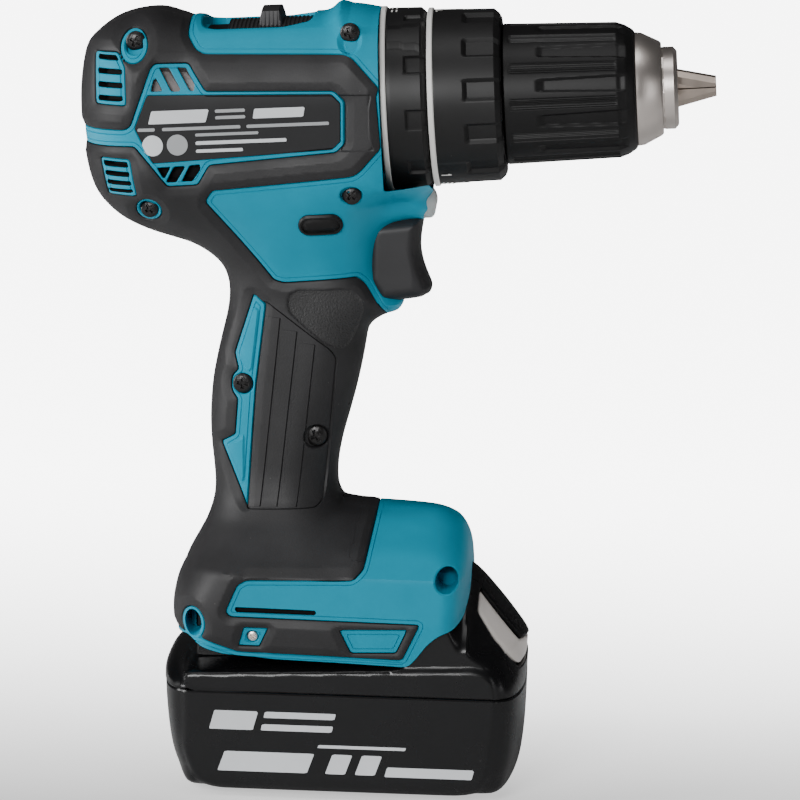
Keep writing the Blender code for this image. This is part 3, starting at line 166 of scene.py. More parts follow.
class Painter:
    """Makes materials from finishes, each one once."""

    def __init__(self, finish: Finish) -> None:
        """Starts a material.

        Args:
            finish: What it looks like.
        """
        self.finish = finish
        self.made = bpy.data.materials.new(finish.name)
        self.made.use_nodes = True
        self.nodes, self.links = self.made.node_tree.nodes, self.made.node_tree.links
        self.shader = self.nodes["Principled BSDF"]
        self.place = self.nodes.new("ShaderNodeTexCoord").outputs["Object"]

    def noise(self, scale: float, detail: float, low: float, high: float,
              stretch: bool = False) -> bpy.types.NodeSocket:
        """Cloudy noise between two values.

        Args:
            scale: Cells in a metre.
            detail: How many finer layers it has.
            low: Its lowest value.
            high: Its highest value.
            stretch: Whether it is drawn out round the chuck's axis, as turning marks are.

        Returns:
            The socket that gives it.
        """
        noise, spread = self.nodes.new("ShaderNodeTexNoise"), self.nodes.new("ShaderNodeMapRange")
        noise.inputs["Scale"].default_value = scale
        noise.inputs["Detail"].default_value = detail
        spread.inputs["To Min"].default_value = low
        spread.inputs["To Max"].default_value = high
        vector = self.place
        if stretch:
            turn = self.nodes.new("ShaderNodeMapping")
            turn.inputs["Rotation"].default_value = (0.0, TILT, 0.0)
            turn.inputs["Scale"].default_value = (1.0, 0.03, 0.03)
            self.links.new(vector, turn.inputs["Vector"])
            vector = turn.outputs["Vector"]
        self.links.new(vector, noise.inputs["Vector"])
        self.links.new(noise.outputs["Fac"], spread.inputs["Value"])
        return spread.outputs["Result"]

    def blend(self, first: Any, second: tuple, amount: bpy.types.NodeSocket) -> bpy.types.NodeSocket:
        """Mixes a colour, or a socket that gives one, with another colour.

        Args:
            first: The colour where the amount is zero.
            second: The colour where it is one.
            amount: The socket that gives the amount.

        Returns:
            The socket that gives the mixture.
        """
        mixer = self.nodes.new("ShaderNodeMix")
        mixer.data_type = "RGBA"
        if isinstance(first, tuple):
            mixer.inputs["A"].default_value = (*first, 1.0)
        else:
            self.links.new(first, mixer.inputs["A"])
        mixer.inputs["B"].default_value = (*second, 1.0)
        self.links.new(amount, mixer.inputs["Factor"])
        return mixer.outputs["Result"]

    def paint(self) -> bpy.types.Material:
        """Adds the colour, the roughness and the grain.

        Returns:
            The material.
        """
        finish, shader, links = self.finish, self.shader, self.links
        shader.inputs["Metallic"].default_value = finish.metal
        shader.inputs["Specular IOR Level"].default_value = finish.specular
        shader.inputs["Transmission Weight"].default_value = finish.clear
        deep = tuple(c * (1 - finish.shade) for c in finish.colour)
        pale = tuple(min(c * (1 + finish.shade), 1.0) for c in finish.colour)
        colour = self.blend(deep, pale, self.noise(90.0, 5.0, -0.3, 1.3))
        if finish.dust:
            spots, near = self.nodes.new("ShaderNodeTexVoronoi"), self.nodes.new("ShaderNodeMapRange")
            spots.inputs["Scale"].default_value = 160.0
            near.inputs["From Min"].default_value, near.inputs["From Max"].default_value = 0.012, 0.022
            near.inputs["To Min"].default_value, near.inputs["To Max"].default_value = finish.dust, 0.0
            links.new(self.place, spots.inputs["Vector"])
            links.new(spots.outputs["Distance"], near.inputs["Value"])
            colour = self.blend(colour, (0.24, 0.23, 0.22), near.outputs["Result"])
        # Sharp convex edges, found by pointiness, are blended towards a paler colour: a painted edge
        # highlight.
        if finish.wear:
            shape, edge = self.nodes.new("ShaderNodeNewGeometry"), self.nodes.new("ShaderNodeMapRange")
            edge.inputs["From Min"].default_value, edge.inputs["From Max"].default_value = 0.53, 0.62
            edge.inputs["To Max"].default_value = finish.wear
            links.new(shape.outputs["Pointiness"], edge.inputs["Value"])
            highlit_edge = tuple(min(c * 1.6 + 0.03, 1.0) for c in finish.colour)
            colour = self.blend(colour, highlit_edge, edge.outputs["Result"])
        links.new(colour, shader.inputs["Base Color"])
        low, high = finish.roughness * (1 - finish.mottle), finish.roughness * (1 + finish.mottle)
        links.new(self.noise(70.0, 4.0, low, high), shader.inputs["Roughness"])
        scale, strength, depth = finish.grain.value
        if strength:
            bump = self.nodes.new("ShaderNodeBump")
            bump.inputs["Strength"].default_value = strength
            bump.inputs["Distance"].default_value = depth
            links.new(self.noise(scale, 2.0, 0.0, 1.0, finish.grain is Grain.LATHE), bump.inputs["Height"])
            links.new(bump.outputs["Normal"], shader.inputs["Normal"])
        return self.made


def material(finish: Finish) -> bpy.types.Material:
    """Gives a finish's material, and makes it the first time.

    Args:
        finish: What it looks like.

    Returns:
        The Blender material.
    """
    return bpy.data.materials.get(finish.name) or Painter(finish).paint()


def dress_frame(frame: dict) -> None:
    """Gives each piece that is kept from the frame its procedural material.

    Args:
        frame: What the frame's loader gave.
    """
    for name, node in frame["nodes"].items():
        for k, held in enumerate(node.data.materials):
            slot = held.name.split(".")[0] if held else "black_plastic"
            if slot not in CARRIED:
                LOG.warning("%s has the unknown slot %s", name, slot)
            node.data.materials[k] = material(CARRIED.get(slot, RING))


def tool(points: Points) -> list[tuple[float, float]]:
    """Turns tool frame points (u, w) into (x, z).

    Args:
        points: Points in the tool frame.

    Returns:
        The same points in the drill's frame.
    """
    c, s = math.cos(TILT), math.sin(TILT)
    return [(u * c - w * s, AXIS_HEIGHT + u * s + w * c, *rest) for u, w, *rest in points]


def eased(value: np.ndarray, at: Sequence[float], to: Sequence[float]) -> np.ndarray:
    """A smooth curve through points that never overshoots them.

    Args:
        value: Where to read the curve.
        at: The points' places, rising.
        to: The points' values.

    Returns:
        The curve's values.
    """
    at, to = np.asarray(at, float), np.asarray(to, float)
    steps = np.diff(to) / np.diff(at)
    slope = np.zeros_like(to)
    both = steps[:-1] * steps[1:] > 0
    slope[1:-1][both] = 2 * (steps[:-1] * steps[1:])[both] / (steps[:-1] + steps[1:])[both]
    value = np.clip(value, at[0], at[-1])
    k = np.clip(np.searchsorted(at, value) - 1, 0, len(at) - 2)
    span = at[k + 1] - at[k]
    t = (value - at[k]) / span
    return (to[k] * (1 + 2 * t) * (1 - t) ** 2 + slope[k] * span * t * (1 - t) ** 2
            + to[k + 1] * t * t * (3 - 2 * t) + slope[k + 1] * span * t * t * (t - 1))


def rounded(points: Points, radius: float = 0.8, steps: int = 5) -> np.ndarray:
    """A closed outline with its corners rounded by parabolas, as quadratic curves through each corner's pull.

    Args:
        points: The corners. A third value in a corner is its own radius.
        radius: How far along each edge a corner's curve starts.
        steps: How many points each curve gets.

    Returns:
        The outline's points, one row each.
    """
    sizes = np.array([p[2] if len(p) > 2 else radius for p in points], float)
    corner = np.array([p[:2] for p in points], float)
    before, after = np.roll(corner, 1, 0) - corner, np.roll(corner, -1, 0) - corner

    def start(edge: np.ndarray) -> np.ndarray:
        """Where each corner's curve starts on an edge."""
        length = np.linalg.norm(edge, axis=1)
        return corner + edge * (np.minimum(sizes, 0.5 * length) / length)[:, None]

    t = np.linspace(0.0, 1.0, steps)[None, :, None]
    curve = ((1 - t) ** 2 * start(before)[:, None] + 2 * t * (1 - t) * corner[:, None]
             + t * t * start(after)[:, None])
    flat = curve.reshape(-1, 2)
    return flat[np.linalg.norm(flat - np.roll(flat, 1, 0), axis=1) > 1e-4]


def oval(centre: tuple[float, float], across: float, high: float, count: int = 40) -> np.ndarray:
    """An ellipse.

    Args:
        centre: Its middle.
        across: Its half width.
        high: Its half height.
        count: How many points.

    Returns:
        The outline's points.
    """
    turn = np.linspace(0, 2 * math.pi, count, endpoint=False)
    return np.column_stack([centre[0] + across * np.cos(turn), centre[1] + high * np.sin(turn)])


def pill(low: tuple[float, float], high: tuple[float, float], steps: int = 16) -> np.ndarray:
    """A bar in the tool frame with half circles for its ends: cosine and sine arcs of half its height.

    Args:
        low: Its lowest u and w.
        high: Its highest u and w.
        steps: How many points each end gets.

    Returns:
        The outline's points in x and z.
    """
    radius = (high[1] - low[1]) / 2
    turn = np.linspace(-math.pi / 2, math.pi / 2, steps)
    front = np.column_stack([high[0] - radius + radius * np.cos(turn),
                             low[1] + radius + radius * np.sin(turn)])
    rear = np.column_stack([low[0] + radius - radius * np.cos(turn), low[1] + radius - radius * np.sin(turn)])
    return np.array(tool(np.vstack([front, rear]).tolist()))


def distance(plan: np.ndarray, outline: np.ndarray, reach: float = 4.0) -> tuple[np.ndarray, np.ndarray]:
    """How far inside an outline each point is.

    Args:
        plan: Points, one row each.
        outline: A closed outline.
        reach: Points further outside its box than this are given as that far outside.

    Returns:
        The distances, positive inside, and unit directions towards the inside.
    """
    result = np.full(len(plan), -reach)
    inward = np.zeros((len(plan), 2))
    low, high = outline.min(0) - reach, outline.max(0) + reach
    near = np.nonzero(((plan > low) & (plan < high)).all(1))[0]
    a, b = outline, np.roll(outline, -1, 0)
    edge = b - a
    square = (edge ** 2).sum(1)
    signed_area = 0.5 * (a[:, 0] * b[:, 1] - b[:, 0] * a[:, 1]).sum()
    normal = np.column_stack([-edge[:, 1], edge[:, 0]]) / np.sqrt(square)[:, None]
    normal = normal * math.copysign(1, signed_area)
    for part in np.array_split(near, max(1, len(near) * len(a) // 4_000_000)):
        p = plan[part]
        gap = p[:, None] - a[None]
        along = np.clip((gap * edge).sum(2) / square, 0, 1)
        gap = gap - along[..., None] * edge
        length = (gap ** 2).sum(2)
        nearest = length.argmin(1)
        rows = np.arange(len(p))
        far = np.sqrt(length[rows, nearest])
        crosses = (a[None, :, 1] > p[:, None, 1]) != (b[None, :, 1] > p[:, None, 1])
        rise = np.where(np.abs(edge[:, 1]) < 1e-12, 1e-12, edge[:, 1])
        at = a[None, :, 0] + (p[:, None, 1] - a[None, :, 1]) * (edge[:, 0] / rise)
        inside = (crosses & (p[:, None, 0] < at)).sum(1) % 2 == 1
        sign = np.where(inside, 1.0, -1.0)
        result[part] = sign * far
        toward = gap[rows, nearest] / np.maximum(far, 1e-9)[:, None] * sign[:, None]
        inward[part] = np.where(far[:, None] < 1e-3, normal[nearest], toward)
    return result, inward


@dataclass(frozen=True)
class Region:
    """An area of a side: what lies in any of some outlines and in none of the others.

    Args:
        name: Its name, under which a sheet keeps its distances.
        outlines: The outlines that make it up.
        without: Outlines left out of it.
    """

    name: str
    outlines: tuple[np.ndarray, ...]
    without: tuple[np.ndarray, ...] = ()

    def depth(self, plan: np.ndarray) -> np.ndarray:
        """How far inside the region each point is.

        Args:
            plan: Points, one row each.

        Returns:
            Distances, positive inside.
        """
        inside = np.max([distance(plan, o)[0] for o in self.outlines], axis=0)
        for outline in self.without:
            inside = np.minimum(inside, -distance(plan, outline)[0])
        return inside


class Sheet:
    """Triangles spread over the side view, with named values at every vertex."""

    def __init__(self, low: tuple[float, float], high: tuple[float, float], step: float) -> None:
        """Spreads a grid.

        Args:
            low: The lowest x and z.
            high: The highest x and z.
            step: The cells' size.
        """
        across = max(2, int(math.ceil((high[0] - low[0]) / step)) + 1)
        up = max(2, int(math.ceil((high[1] - low[1]) / step)) + 1)
        x, z = np.meshgrid(np.linspace(low[0], high[0], across), np.linspace(low[1], high[1], up))
        self.plan = np.column_stack([x.ravel(), z.ravel()])
        i = (np.arange(up - 1)[:, None] * across + np.arange(across - 1)[None]).ravel()
        flip = ((np.arange(up - 1)[:, None] + np.arange(across - 1)[None]) % 2 == 0).ravel()
        a, b, c, d = i, i + 1, i + across + 1, i + across
        first = np.where(flip[:, None], np.column_stack([a, b, c]), np.column_stack([a, b, d]))
        second = np.where(flip[:, None], np.column_stack([a, c, d]), np.column_stack([b, c, d]))
        self.triangles = np.vstack([first, second])
        self.values: dict[str, np.ndarray] = {}

    def cut(self, name: str, level: float) -> None:
        """Splits triangles so that none crosses a level of a named value.

        Args:
            name: The value's name.
            level: The level.
        """
        value = self.values[name] - level
        value[np.abs(value) < 0.006] = 0.0
        self.values[name] = value + level
        sign = np.sign(value)[self.triangles]
        crossing = (sign > 0).any(1) & (sign < 0).any(1)
        if not crossing.any():
            return
        keep, split, sign = self.triangles[~crossing], self.triangles[crossing], sign[crossing]
        flat = (sign == 0).any(1)
        odd = np.where(flat, (sign == 0).argmax(1), np.where(
            sign.sum(1) > 0, (sign < 0).argmax(1), (sign > 0).argmax(1)))
        turn = (odd[:, None] + np.arange(3)[None]) % 3
        split = np.take_along_axis(split, turn, 1)
        edges = np.vstack([split[flat][:, [1, 2]], split[~flat][:, [0, 1]], split[~flat][:, [0, 2]]])
        pairs, which = np.unique(np.sort(edges, 1), axis=0, return_inverse=True)
        which = which.ravel() + len(self.plan)
        share = value[pairs[:, 0]] / (value[pairs[:, 0]] - value[pairs[:, 1]])

        def between(data: np.ndarray) -> np.ndarray:
            """The data where each split edge meets the level."""
            weight = share if data.ndim == 1 else share[:, None]
            return data[pairs[:, 0]] * (1 - weight) + data[pairs[:, 1]] * weight

        self.plan = np.vstack([self.plan, between(self.plan)])
        self.values = {key: np.concatenate([data, between(data)]) for key, data in self.values.items()}
        self.values[name][-len(pairs):] = level
        n, m = int(flat.sum()), int((~flat).sum())
        middle, first, second = which[:n], which[n:n + m], which[n + m:]
        z, s = split[flat], split[~flat]
        self.triangles = np.vstack([
            keep, np.column_stack([z[:, 0], z[:, 1], middle]), np.column_stack([z[:, 0], middle, z[:, 2]]),
            np.column_stack([s[:, 0], first, second]), np.column_stack([first, s[:, 1], s[:, 2]]),
            np.column_stack([first, s[:, 2], second])])

    def mean(self, name: str) -> np.ndarray:
        """The named value at the middle of every triangle."""
        return self.values[name][self.triangles].mean(1)

    def keep(self, chosen: np.ndarray) -> None:
        """Drops the triangles that aren't chosen."""
        self.triangles = self.triangles[chosen]


@dataclass(frozen=True)
class Relief:
    """A raised or sunk area.

    Args:
        region: Where it is.
        profile: Pairs of (distance inside the edge, height).
        both: Whether the left half has it too.
        everywhere: Whether it keeps its height where the side curls over to the middle.
        straight: Whether it goes straight in across the drill, as a bored hole does.
    """

    region: Region
    profile: tuple[tuple[float, float], ...]
    both: bool = True
    everywhere: bool = True
    straight: bool = False

    def height(self, depth: np.ndarray) -> np.ndarray:
        """Its height at some distances inside its edge."""
        at, to = zip(*self.profile)
        return np.interp(depth, at, to)


@dataclass(frozen=True)
class Groove:
    """A fine line sunk into a surface.

    Args:
        name: Its name, under which a sheet keeps its distances.
        points: The line's corners.
        half: Half its width.
        deep: Its depth.
    """

    name: str
    points: tuple[tuple[float, float], ...]
    half: float = 0.22
    deep: float = 0.35

    def offset(self, plan: np.ndarray) -> np.ndarray:
        """How far to the left of the line each point is, or far away past its ends.

        Args:
            plan: Points in x and z.

        Returns:
            Each point's distance.
        """
        corner = np.array(self.points, float)
        a, edge = corner[:-1], np.diff(corner, axis=0)
        length = np.linalg.norm(edge, axis=1)
        gap = plan[:, None] - a[None]
        along = (gap * edge).sum(2) / length ** 2
        held = gap - np.clip(along, 0, 1)[..., None] * edge
        far = np.linalg.norm(held, axis=2)
        nearest = far.argmin(1)
        rows = np.arange(len(plan))
        across = (edge[:, 0] * gap[..., 1] - edge[:, 1] * gap[..., 0]) / length
        value = far[rows, nearest] * np.sign(across[rows, nearest])
        past = ((nearest == 0) & (along[rows, 0] < 0)) | ((nearest == len(a) - 1) & (along[rows, -1] > 1))
        return np.where(past | (np.abs(value) > 5), 5.0, value)

    def height(self, value: np.ndarray) -> np.ndarray:
        """Its height at some distances from the line."""
        return -self.deep * np.clip(1 - np.abs(value) / self.half, 0, 1)


@dataclass(frozen=True)
class Hull:
    """A half body swollen from its outline in the side view.

    Args:
        outline: Its closed outline in x and z.
        half_width: Gives its half width at each point of the side view.
        shoulder: Gives how far in from the outline it reaches that width.
        squareness: The power of its edge's curve: 2 is round, more is squarer.
    """

    outline: np.ndarray
    half_width: Callable[[np.ndarray, np.ndarray], np.ndarray]
    shoulder: Callable[[np.ndarray, np.ndarray], np.ndarray]
    squareness: Callable[[np.ndarray, np.ndarray], np.ndarray]

    def surface(self, plan: np.ndarray, edge: Optional[np.ndarray] = None) -> tuple[np.ndarray, np.ndarray]:
        """Where the right side's surface is.

        With s the share of the shoulder that a point is in from the outline, the distance from the middle
        plane is the half width times the n-th root of (1 - (1 - s) to the n), n being the squareness.

        Args:
            plan: Points of the side view, one row each.
            edge: Their distances inside the outline, where these are known.

        Returns:
            Distances from the middle plane, and unit normals of the right side.
        """
        x, z = plan.T
        inside, inward = distance(plan, self.outline, 60.0)
        inside = inside if edge is None else edge
        step = 0.05
        reach = self.shoulder(x, z)
        reach_x = (self.shoulder(x + step, z) - reach) / step
        reach_z = (self.shoulder(x, z + step) - reach) / step
        width = self.half_width(x, z)
        width_x = (self.half_width(x + step, z) - width) / step
        width_z = (self.half_width(x, z + step) - width) / step
        s = np.clip(inside / reach, 0.0, 1.0)
        n = self.squareness(x, z)
        inner = np.maximum(1 - (1 - s) ** n, 1e-9)
        curve = np.where(s > 0, inner ** (1 / n), 0.0)
        steep = np.where(s < 1, (1 - s) ** (n - 1) * inner ** (1 / n - 1), 0.0)
        slope_x = curve * width_x + width * steep * (inward[:, 0] / reach - s / reach * reach_x)
        slope_z = curve * width_z + width * steep * (inward[:, 1] / reach - s / reach * reach_z)
        normal = np.column_stack([-slope_x, -np.ones_like(x), -slope_z])
        return width * curve, normal / np.linalg.norm(normal, axis=1)[:, None]


EDGE_LEVELS = (0.0, 0.03, 0.1, 0.22, 0.42, 0.75, 1.2, 1.8)


@dataclass
class Skin:
    """One half of a hull's surface, with its reliefs and the pieces that it is cut into.

    Args:
        hull: The hull.
        reliefs: Its raised and sunk areas.
        pieces: Pairs of (region, finish), later ones over earlier ones.
        base: The finish of the rest.
        trims: Outlines cut away.
        step: The grid's size.
        grooves: The fine lines sunk into it.
    """

    hull: Hull
    reliefs: Sequence[Relief]
    pieces: Sequence[tuple[Region, Finish]]
    base: Finish
    trims: Sequence[Region] = ()
    step: float = 0.8
    grooves: Sequence[Groove] = ()

    def sheet(self, side: Side) -> tuple[Sheet, np.ndarray]:
        """Cuts the sheet and lifts it off the middle plane.

        Args:
            side: Which half.

        Returns:
            The sheet and its vertices.
        """
        outline = self.hull.outline
        sheet = Sheet(tuple(outline.min(0) - 0.5), tuple(outline.max(0) + 0.5), self.step)
        sheet.values["edge"] = distance(sheet.plan, self.hull.outline, 60.0)[0]
        for level in EDGE_LEVELS:
            sheet.cut("edge", level)
            if level == 0.0:
                sheet.keep(sheet.mean("edge") > 0)
        for trim in self.trims:
            sheet.values[trim.name] = trim.depth(sheet.plan)
            sheet.cut(trim.name, 0.0)
            sheet.keep(sheet.mean(trim.name) < 0)
        for groove in self.grooves:
            sheet.values[groove.name] = groove.offset(sheet.plan)
            for at in (-groove.half, 0.0, groove.half):
                sheet.cut(groove.name, at)
        used = [r for r in self.reliefs if r.both or side is Side.RIGHT]
        known = {r.region.name for r in used}
        for relief in used:
            sheet.values[relief.region.name] = relief.region.depth(sheet.plan)
            for at, _ in relief.profile:
                sheet.cut(relief.region.name, at)
        for region, _ in self.pieces:
            if region.name not in known:
                sheet.values[region.name] = region.depth(sheet.plan)
                sheet.cut(region.name, 0.0)
        return sheet, self.lift(sheet, side, used)

    def lift(self, sheet: Sheet, side: Side, reliefs: Iterable[Relief]) -> np.ndarray:
        """Places a sheet's vertices on the surface, and moves each along the normal by its reliefs' sum.

        Args:
            sheet: The sheet.
            side: Which half.
            reliefs: The reliefs to add.

        Returns:
            The vertices.
        """
        out, normal = self.hull.surface(sheet.plan, sheet.values["edge"])
        lifted = np.zeros(len(out))
        bored = np.zeros(len(out))
        fade = np.clip(out / 12.0, 0.0, 1.0)
        for relief in reliefs:
            height = relief.height(sheet.values[relief.region.name])
            if relief.straight:
                bored -= height
            else:
                lifted += height if relief.everywhere else height * fade
        for groove in self.grooves:
            if groove.name in sheet.values:
                lifted += groove.height(sheet.values[groove.name])
        spot = np.column_stack([sheet.plan[:, 0], bored - out, sheet.plan[:, 1]]) + normal * lifted[:, None]
        spot[:, 1] = np.minimum(spot[:, 1], 0.0)
        spot[:, 1] *= -side.value
        return spot

    def build(self, name: str, side: Side, ride: str) -> list[bpy.types.Object]:
        """Builds one piece for the base and one for each finish.

        Args:
            name: The pieces' name.
            side: Which half.
            ride: The CAD body that they move with.

        Returns:
            The pieces, the base first.
        """
        sheet, spots = self.sheet(side)
        owner = np.zeros(len(sheet.triangles), int)
        for k, (region, _) in enumerate(self.pieces):
            if region.name in sheet.values:
                owner[sheet.mean(region.name) > 0] = k + 1
        finishes = [self.base, *(finish for _, finish in self.pieces)]
        made = []
        for finish in dict.fromkeys(finishes):
            mine = np.isin(owner, [k for k, f in enumerate(finishes) if f is finish])
            if mine.any():
                tag = "" if finish is self.base else "_" + finish.name.replace(" ", "_")
                triangles = sheet.triangles[mine]
                if side is Side.LEFT:
                    triangles = triangles[:, ::-1]
                made.append(piece(name + tag, spots, triangles, finish, ride))
        return made


def piece(name: str, spots: np.ndarray, faces: np.ndarray, finish: Finish, ride: str,
          angle: float = 32.0) -> bpy.types.Object:
    """Makes an object from vertices in millimetres.

    Args:
        name: Its name.
        spots: The vertices.
        faces: The faces, as rows of 3 or 4 vertex numbers.
        finish: Its finish.
        ride: The CAD body that it moves with.
        angle: Edges sharper than this many degrees stay sharp.

    Returns:
        The object.
    """
    used, index = np.unique(faces, return_inverse=True)
    mesh = bpy.data.meshes.new(name)
    mesh.from_pydata((spots[used] * MM).tolist(), [], index.reshape(faces.shape).tolist())
    mesh.validate()
    mesh.materials.append(material(finish))
    mesh.polygons.foreach_set("use_smooth", np.ones(len(mesh.polygons), bool))
    mesh.set_sharp_from_angle(angle=math.radians(angle))
    made = bpy.data.objects.new(name, mesh)
    bpy.context.scene.collection.objects.link(made)
    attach(made, ride)
    return made


def mix(a: np.ndarray, b: np.ndarray, share: np.ndarray) -> np.ndarray:
    """Blends a into b by a share, from 0 to 1, that eases in and out as 3 s squared less 2 s cubed."""
    share = np.clip(share, 0, 1)
    return a + (b - a) * share * share * (3 - 2 * share)


def tool_place(x: np.ndarray, z: np.ndarray) -> tuple[np.ndarray, np.ndarray]:
    """The tool frame place (u, w) of points in x and z: they are turned back by the head's tilt."""
    c, s = math.cos(TILT), math.sin(TILT)
    return x * c + (z - AXIS_HEIGHT) * s, -x * s + (z - AXIS_HEIGHT) * c


class Assembly:
    """A group of pieces that is built together."""

    def build(self) -> list[bpy.types.Object]:
        """Builds the pieces and gives them."""
        raise NotImplementedError


def stand_in(made: bpy.types.Object, node: str, slot: str) -> bpy.types.Object:
    """Hides the CAD node that a piece stands in for.

    Args:
        made: The piece.
        node: The CAD node.
        slot: Not used.

    Returns:
        The piece.
    """
    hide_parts(node)
    return made


# ------------------------------------------------------------------ the casing
CASING_OUTLINE = rounded(
    tool([(60, 27.4, 0.5), (-1, 27.4), (-9.2, 29.6), (-16.9, 30.3, 1.5), (-19.8, 27.9, 1.5), (-40, 27.9),
          (-60.6, 27.9), (-63, 27.7), (-71.6, 30.9, 3), (-79.7, 30.5, 4), (-86.8, 28.3, 4), (-93.6, 23.3, 3),
          (-95.4, 18.2), (-97.0, 9.0), (-97.3, 0), (-96.9, -9.0), (-95.9, -17.0), (-93.9, -24.0),
          (-90.0, -29.2), (-85.6, -33.2), (-78.5, -37.0), (-70.5, -39.8)])
    + [(-62.3, 168.5), (-56.8, 165.4), (-52.6, 161.4), (-50.7, 155.6), (-51.0, 148.4), (-52.9, 140.2),
       (-54.6, 131.9), (-55.7, 125), (-56.2, 115.3), (-55.8, 107.1), (-54.7, 98.8), (-54.1, 92.6),
       (-54.6, 87.2), (-56.6, 81.0), (-59.2, 75.4), (-63.9, 65.8, 3), (-65.2, 60.4), (-65.8, 55),
       (-65.0, 48.9), (-64, 20, 1), (34, 20, 1), (26.2, 53), (27.0, 60), (26.9, 66.2), (26.3, 72.2),
       (25.4, 79.0), (22.9, 83.6), (18.0, 86.2), (12.9, 87.2), (-4.1, 88.0), (-14.4, 88.2, 1.0),
       (-16.4, 92.0), (-16.5, 98), (-16.2, 101.5), (-15, 108.4), (-12.5, 117.4), (-10.1, 127.9),
       (-8.6, 136.8), (-8, 141.6), (-6.8, 144.6), (-3.8, 147.0), (-0.8, 147.7), (2.0, 148.8, 1.2),
       (3.6, 151.6, 1.2), (2.2, 153.4, 1.0), (-0.9, 155.2), (-3.4, 159.2), (-4.4, 165.5), (-3.4, 171.8),
       (-0.4, 175.4), (3.4, 176.6), (9.6, 177.6, 1)]
    + tool([(10.2, -35.0, 2), (9.7, -28, 0.5), (60, -28, 0.5)]), 99.0, 6)

FRONT_CUT = Region("front cut", (rounded(tool([
    (-4.0, -25.2), (9.4, -25.2), (10.6, -40), (80, -40), (80, 60), (-4.0, 60)]), 0.01),))
FOOT_EDGE = [(-80, 47), (-66, 47.4), (-60.5, 50.2), (-58.7, 49.7), (-55.5, 47.3), (-48.4, 45.4),
             (-32.3, 44.2), (-8, 43.6), (8.6, 43.0), (10.8, 45.2), (14.7, 50.5), (18.1, 53.4), (22.6, 55.2),
             (25.4, 57.9), (28.5, 64), (70, 64)]
FOOT_CUT = Region("foot cut", (rounded([*FOOT_EDGE, (70, -5), (-80, -5)], 1.6),))

FRAME_AREA = rounded(tool([
    (-108, -2.9), (-82.4, -3.1), (-80.3, -2.0), (-73.1, 15.6), (-71.9, 16.9), (-61.6, 16.6), (-56.6, 8.0),
    (-17.5, 6.6), (-14.3, 3.2), (-14.9, -9.6), (-17.7, -12.2), (-56.6, -14.6), (-60.4, -20.6), (-69.9, -20.9),
    (-74.6, -14.3), (-79.4, -8.2), (-108, -8.3)]), 0.9)
GRILLES = (rounded(tool([(-90.9, 20.7), (-83.3, 20.6), (-81.0, 16.0), (-81.2, 4.3), (-91.3, 4.7)]), 0.9),
           rounded(tool([(-90.8, -11.7), (-81.0, -12.1), (-79.8, -24.2), (-89.3, -23.8)]), 0.9))
BOSSES = (oval(tool([(-78.3, 22.1)])[0], 4.3, 5.1), oval(tool([(-76.8, -28.8)])[0], 4.1, 3.8))
HANDLE_STRIP = rounded([(-42.6, 154.5), (-38.8, 151.4), (-41.4, 125.3), (-43.3, 88.4), (-52.0, 107.4),
                        (-47.6, 110.2), (-47.0, 121.4), (-49.1, 123.9, 2), (-49.1, 128.4, 2), (-46.9, 130.6),
                        (-48.3, 135.6)], 0.7)
TRAPEZOID = rounded([(-12.5, 54.3), (8.6, 55.0), (5.2, 47.4), (-8.8, 46.9)], 0.7)
SCREW_PATCH = rounded([(-41.9, 54.1), (-34.4, 54.1), (-36.9, 48.2), (-43.5, 48.2)], 0.3)
HOOK_RING = oval((-58.0, 54.2), 4.0, 5.2)
BLACK = rounded(
    tool([(-62.2, 50, 0.1), (-62.2, 24.2), (-59.4, 20.2), (-56.8, 18.9), (-12.6, 17.2, 2.5), (-3.9, 6.8),
          (-4.9, 4.5), (-4.2, -11.6), (-12.2, -19.8, 2.5), (-56.2, -22.6), (-58.8, -26.2)])
    + [(-36.2, 159.2), (-33.0, 158.4), (-10.6, 160.6), (-8.2, 158.6), (-3.6, 150.8), (1.0, 144, 0.1),
       (12, 120, 0.1), (-1.2, 97, 0.1), (-3.0, 87.2), (-5.6, 73.0), (-8.8, 69.9), (-41.5, 68.9),
       (-44.2, 67.2), (-47.7, 58.8), (-46.2, 57.3), (12.2, 56.6), (7.0, 45.2), (-43.8, 46.2), (-54.9, 49.9),
       (-62.5, 50.4), (-66, 48.8), (-90, 30, 0.1), (-90, 70, 0.1), (-70, 90, 0.1), (-70, 150, 0.1),
       (-110, 175, 0.1)] + tool([(-120, 50, 0.1)]), 0.9)
GRIP = Region("grip", (BLACK,), (FRAME_AREA, *GRILLES, *BOSSES, HANDLE_STRIP, TRAPEZOID, SCREW_PATCH,
                                 HOOK_RING))
PAD = Region("pad", (rounded([(-32.2, 154.0), (-30.0, 156.6), (-13.4, 157.4), (-9.6, 154.2), (-8.4, 151.0),
                              (-12.9, 139.6), (-15.8, 137.7), (-20.4, 139.4), (-31.8, 149.2)], 2.0),))
PLATE_AREA = rounded([(-39.6, 152.6), (-37.6, 152.0), (-18.6, 138.0), (-16.7, 135.2), (-20.2, 90.0),
                      (-22.0, 87.7), (-43.0, 87.0), (-43.4, 90.0), (-41.4, 125.3)], 1.2)
PLATE = Region("plate", (PLATE_AREA,), (HANDLE_STRIP,))
LABEL_AREA = Region("label", (rounded(tool([
    (-79.0, -2.6), (-74.5, 7.5), (-18.3, 5.7), (-15.7, 2.9), (-16.2, -8.9), (-18.9, -11.3), (-73.9, -13.5)]),
    0.6),))
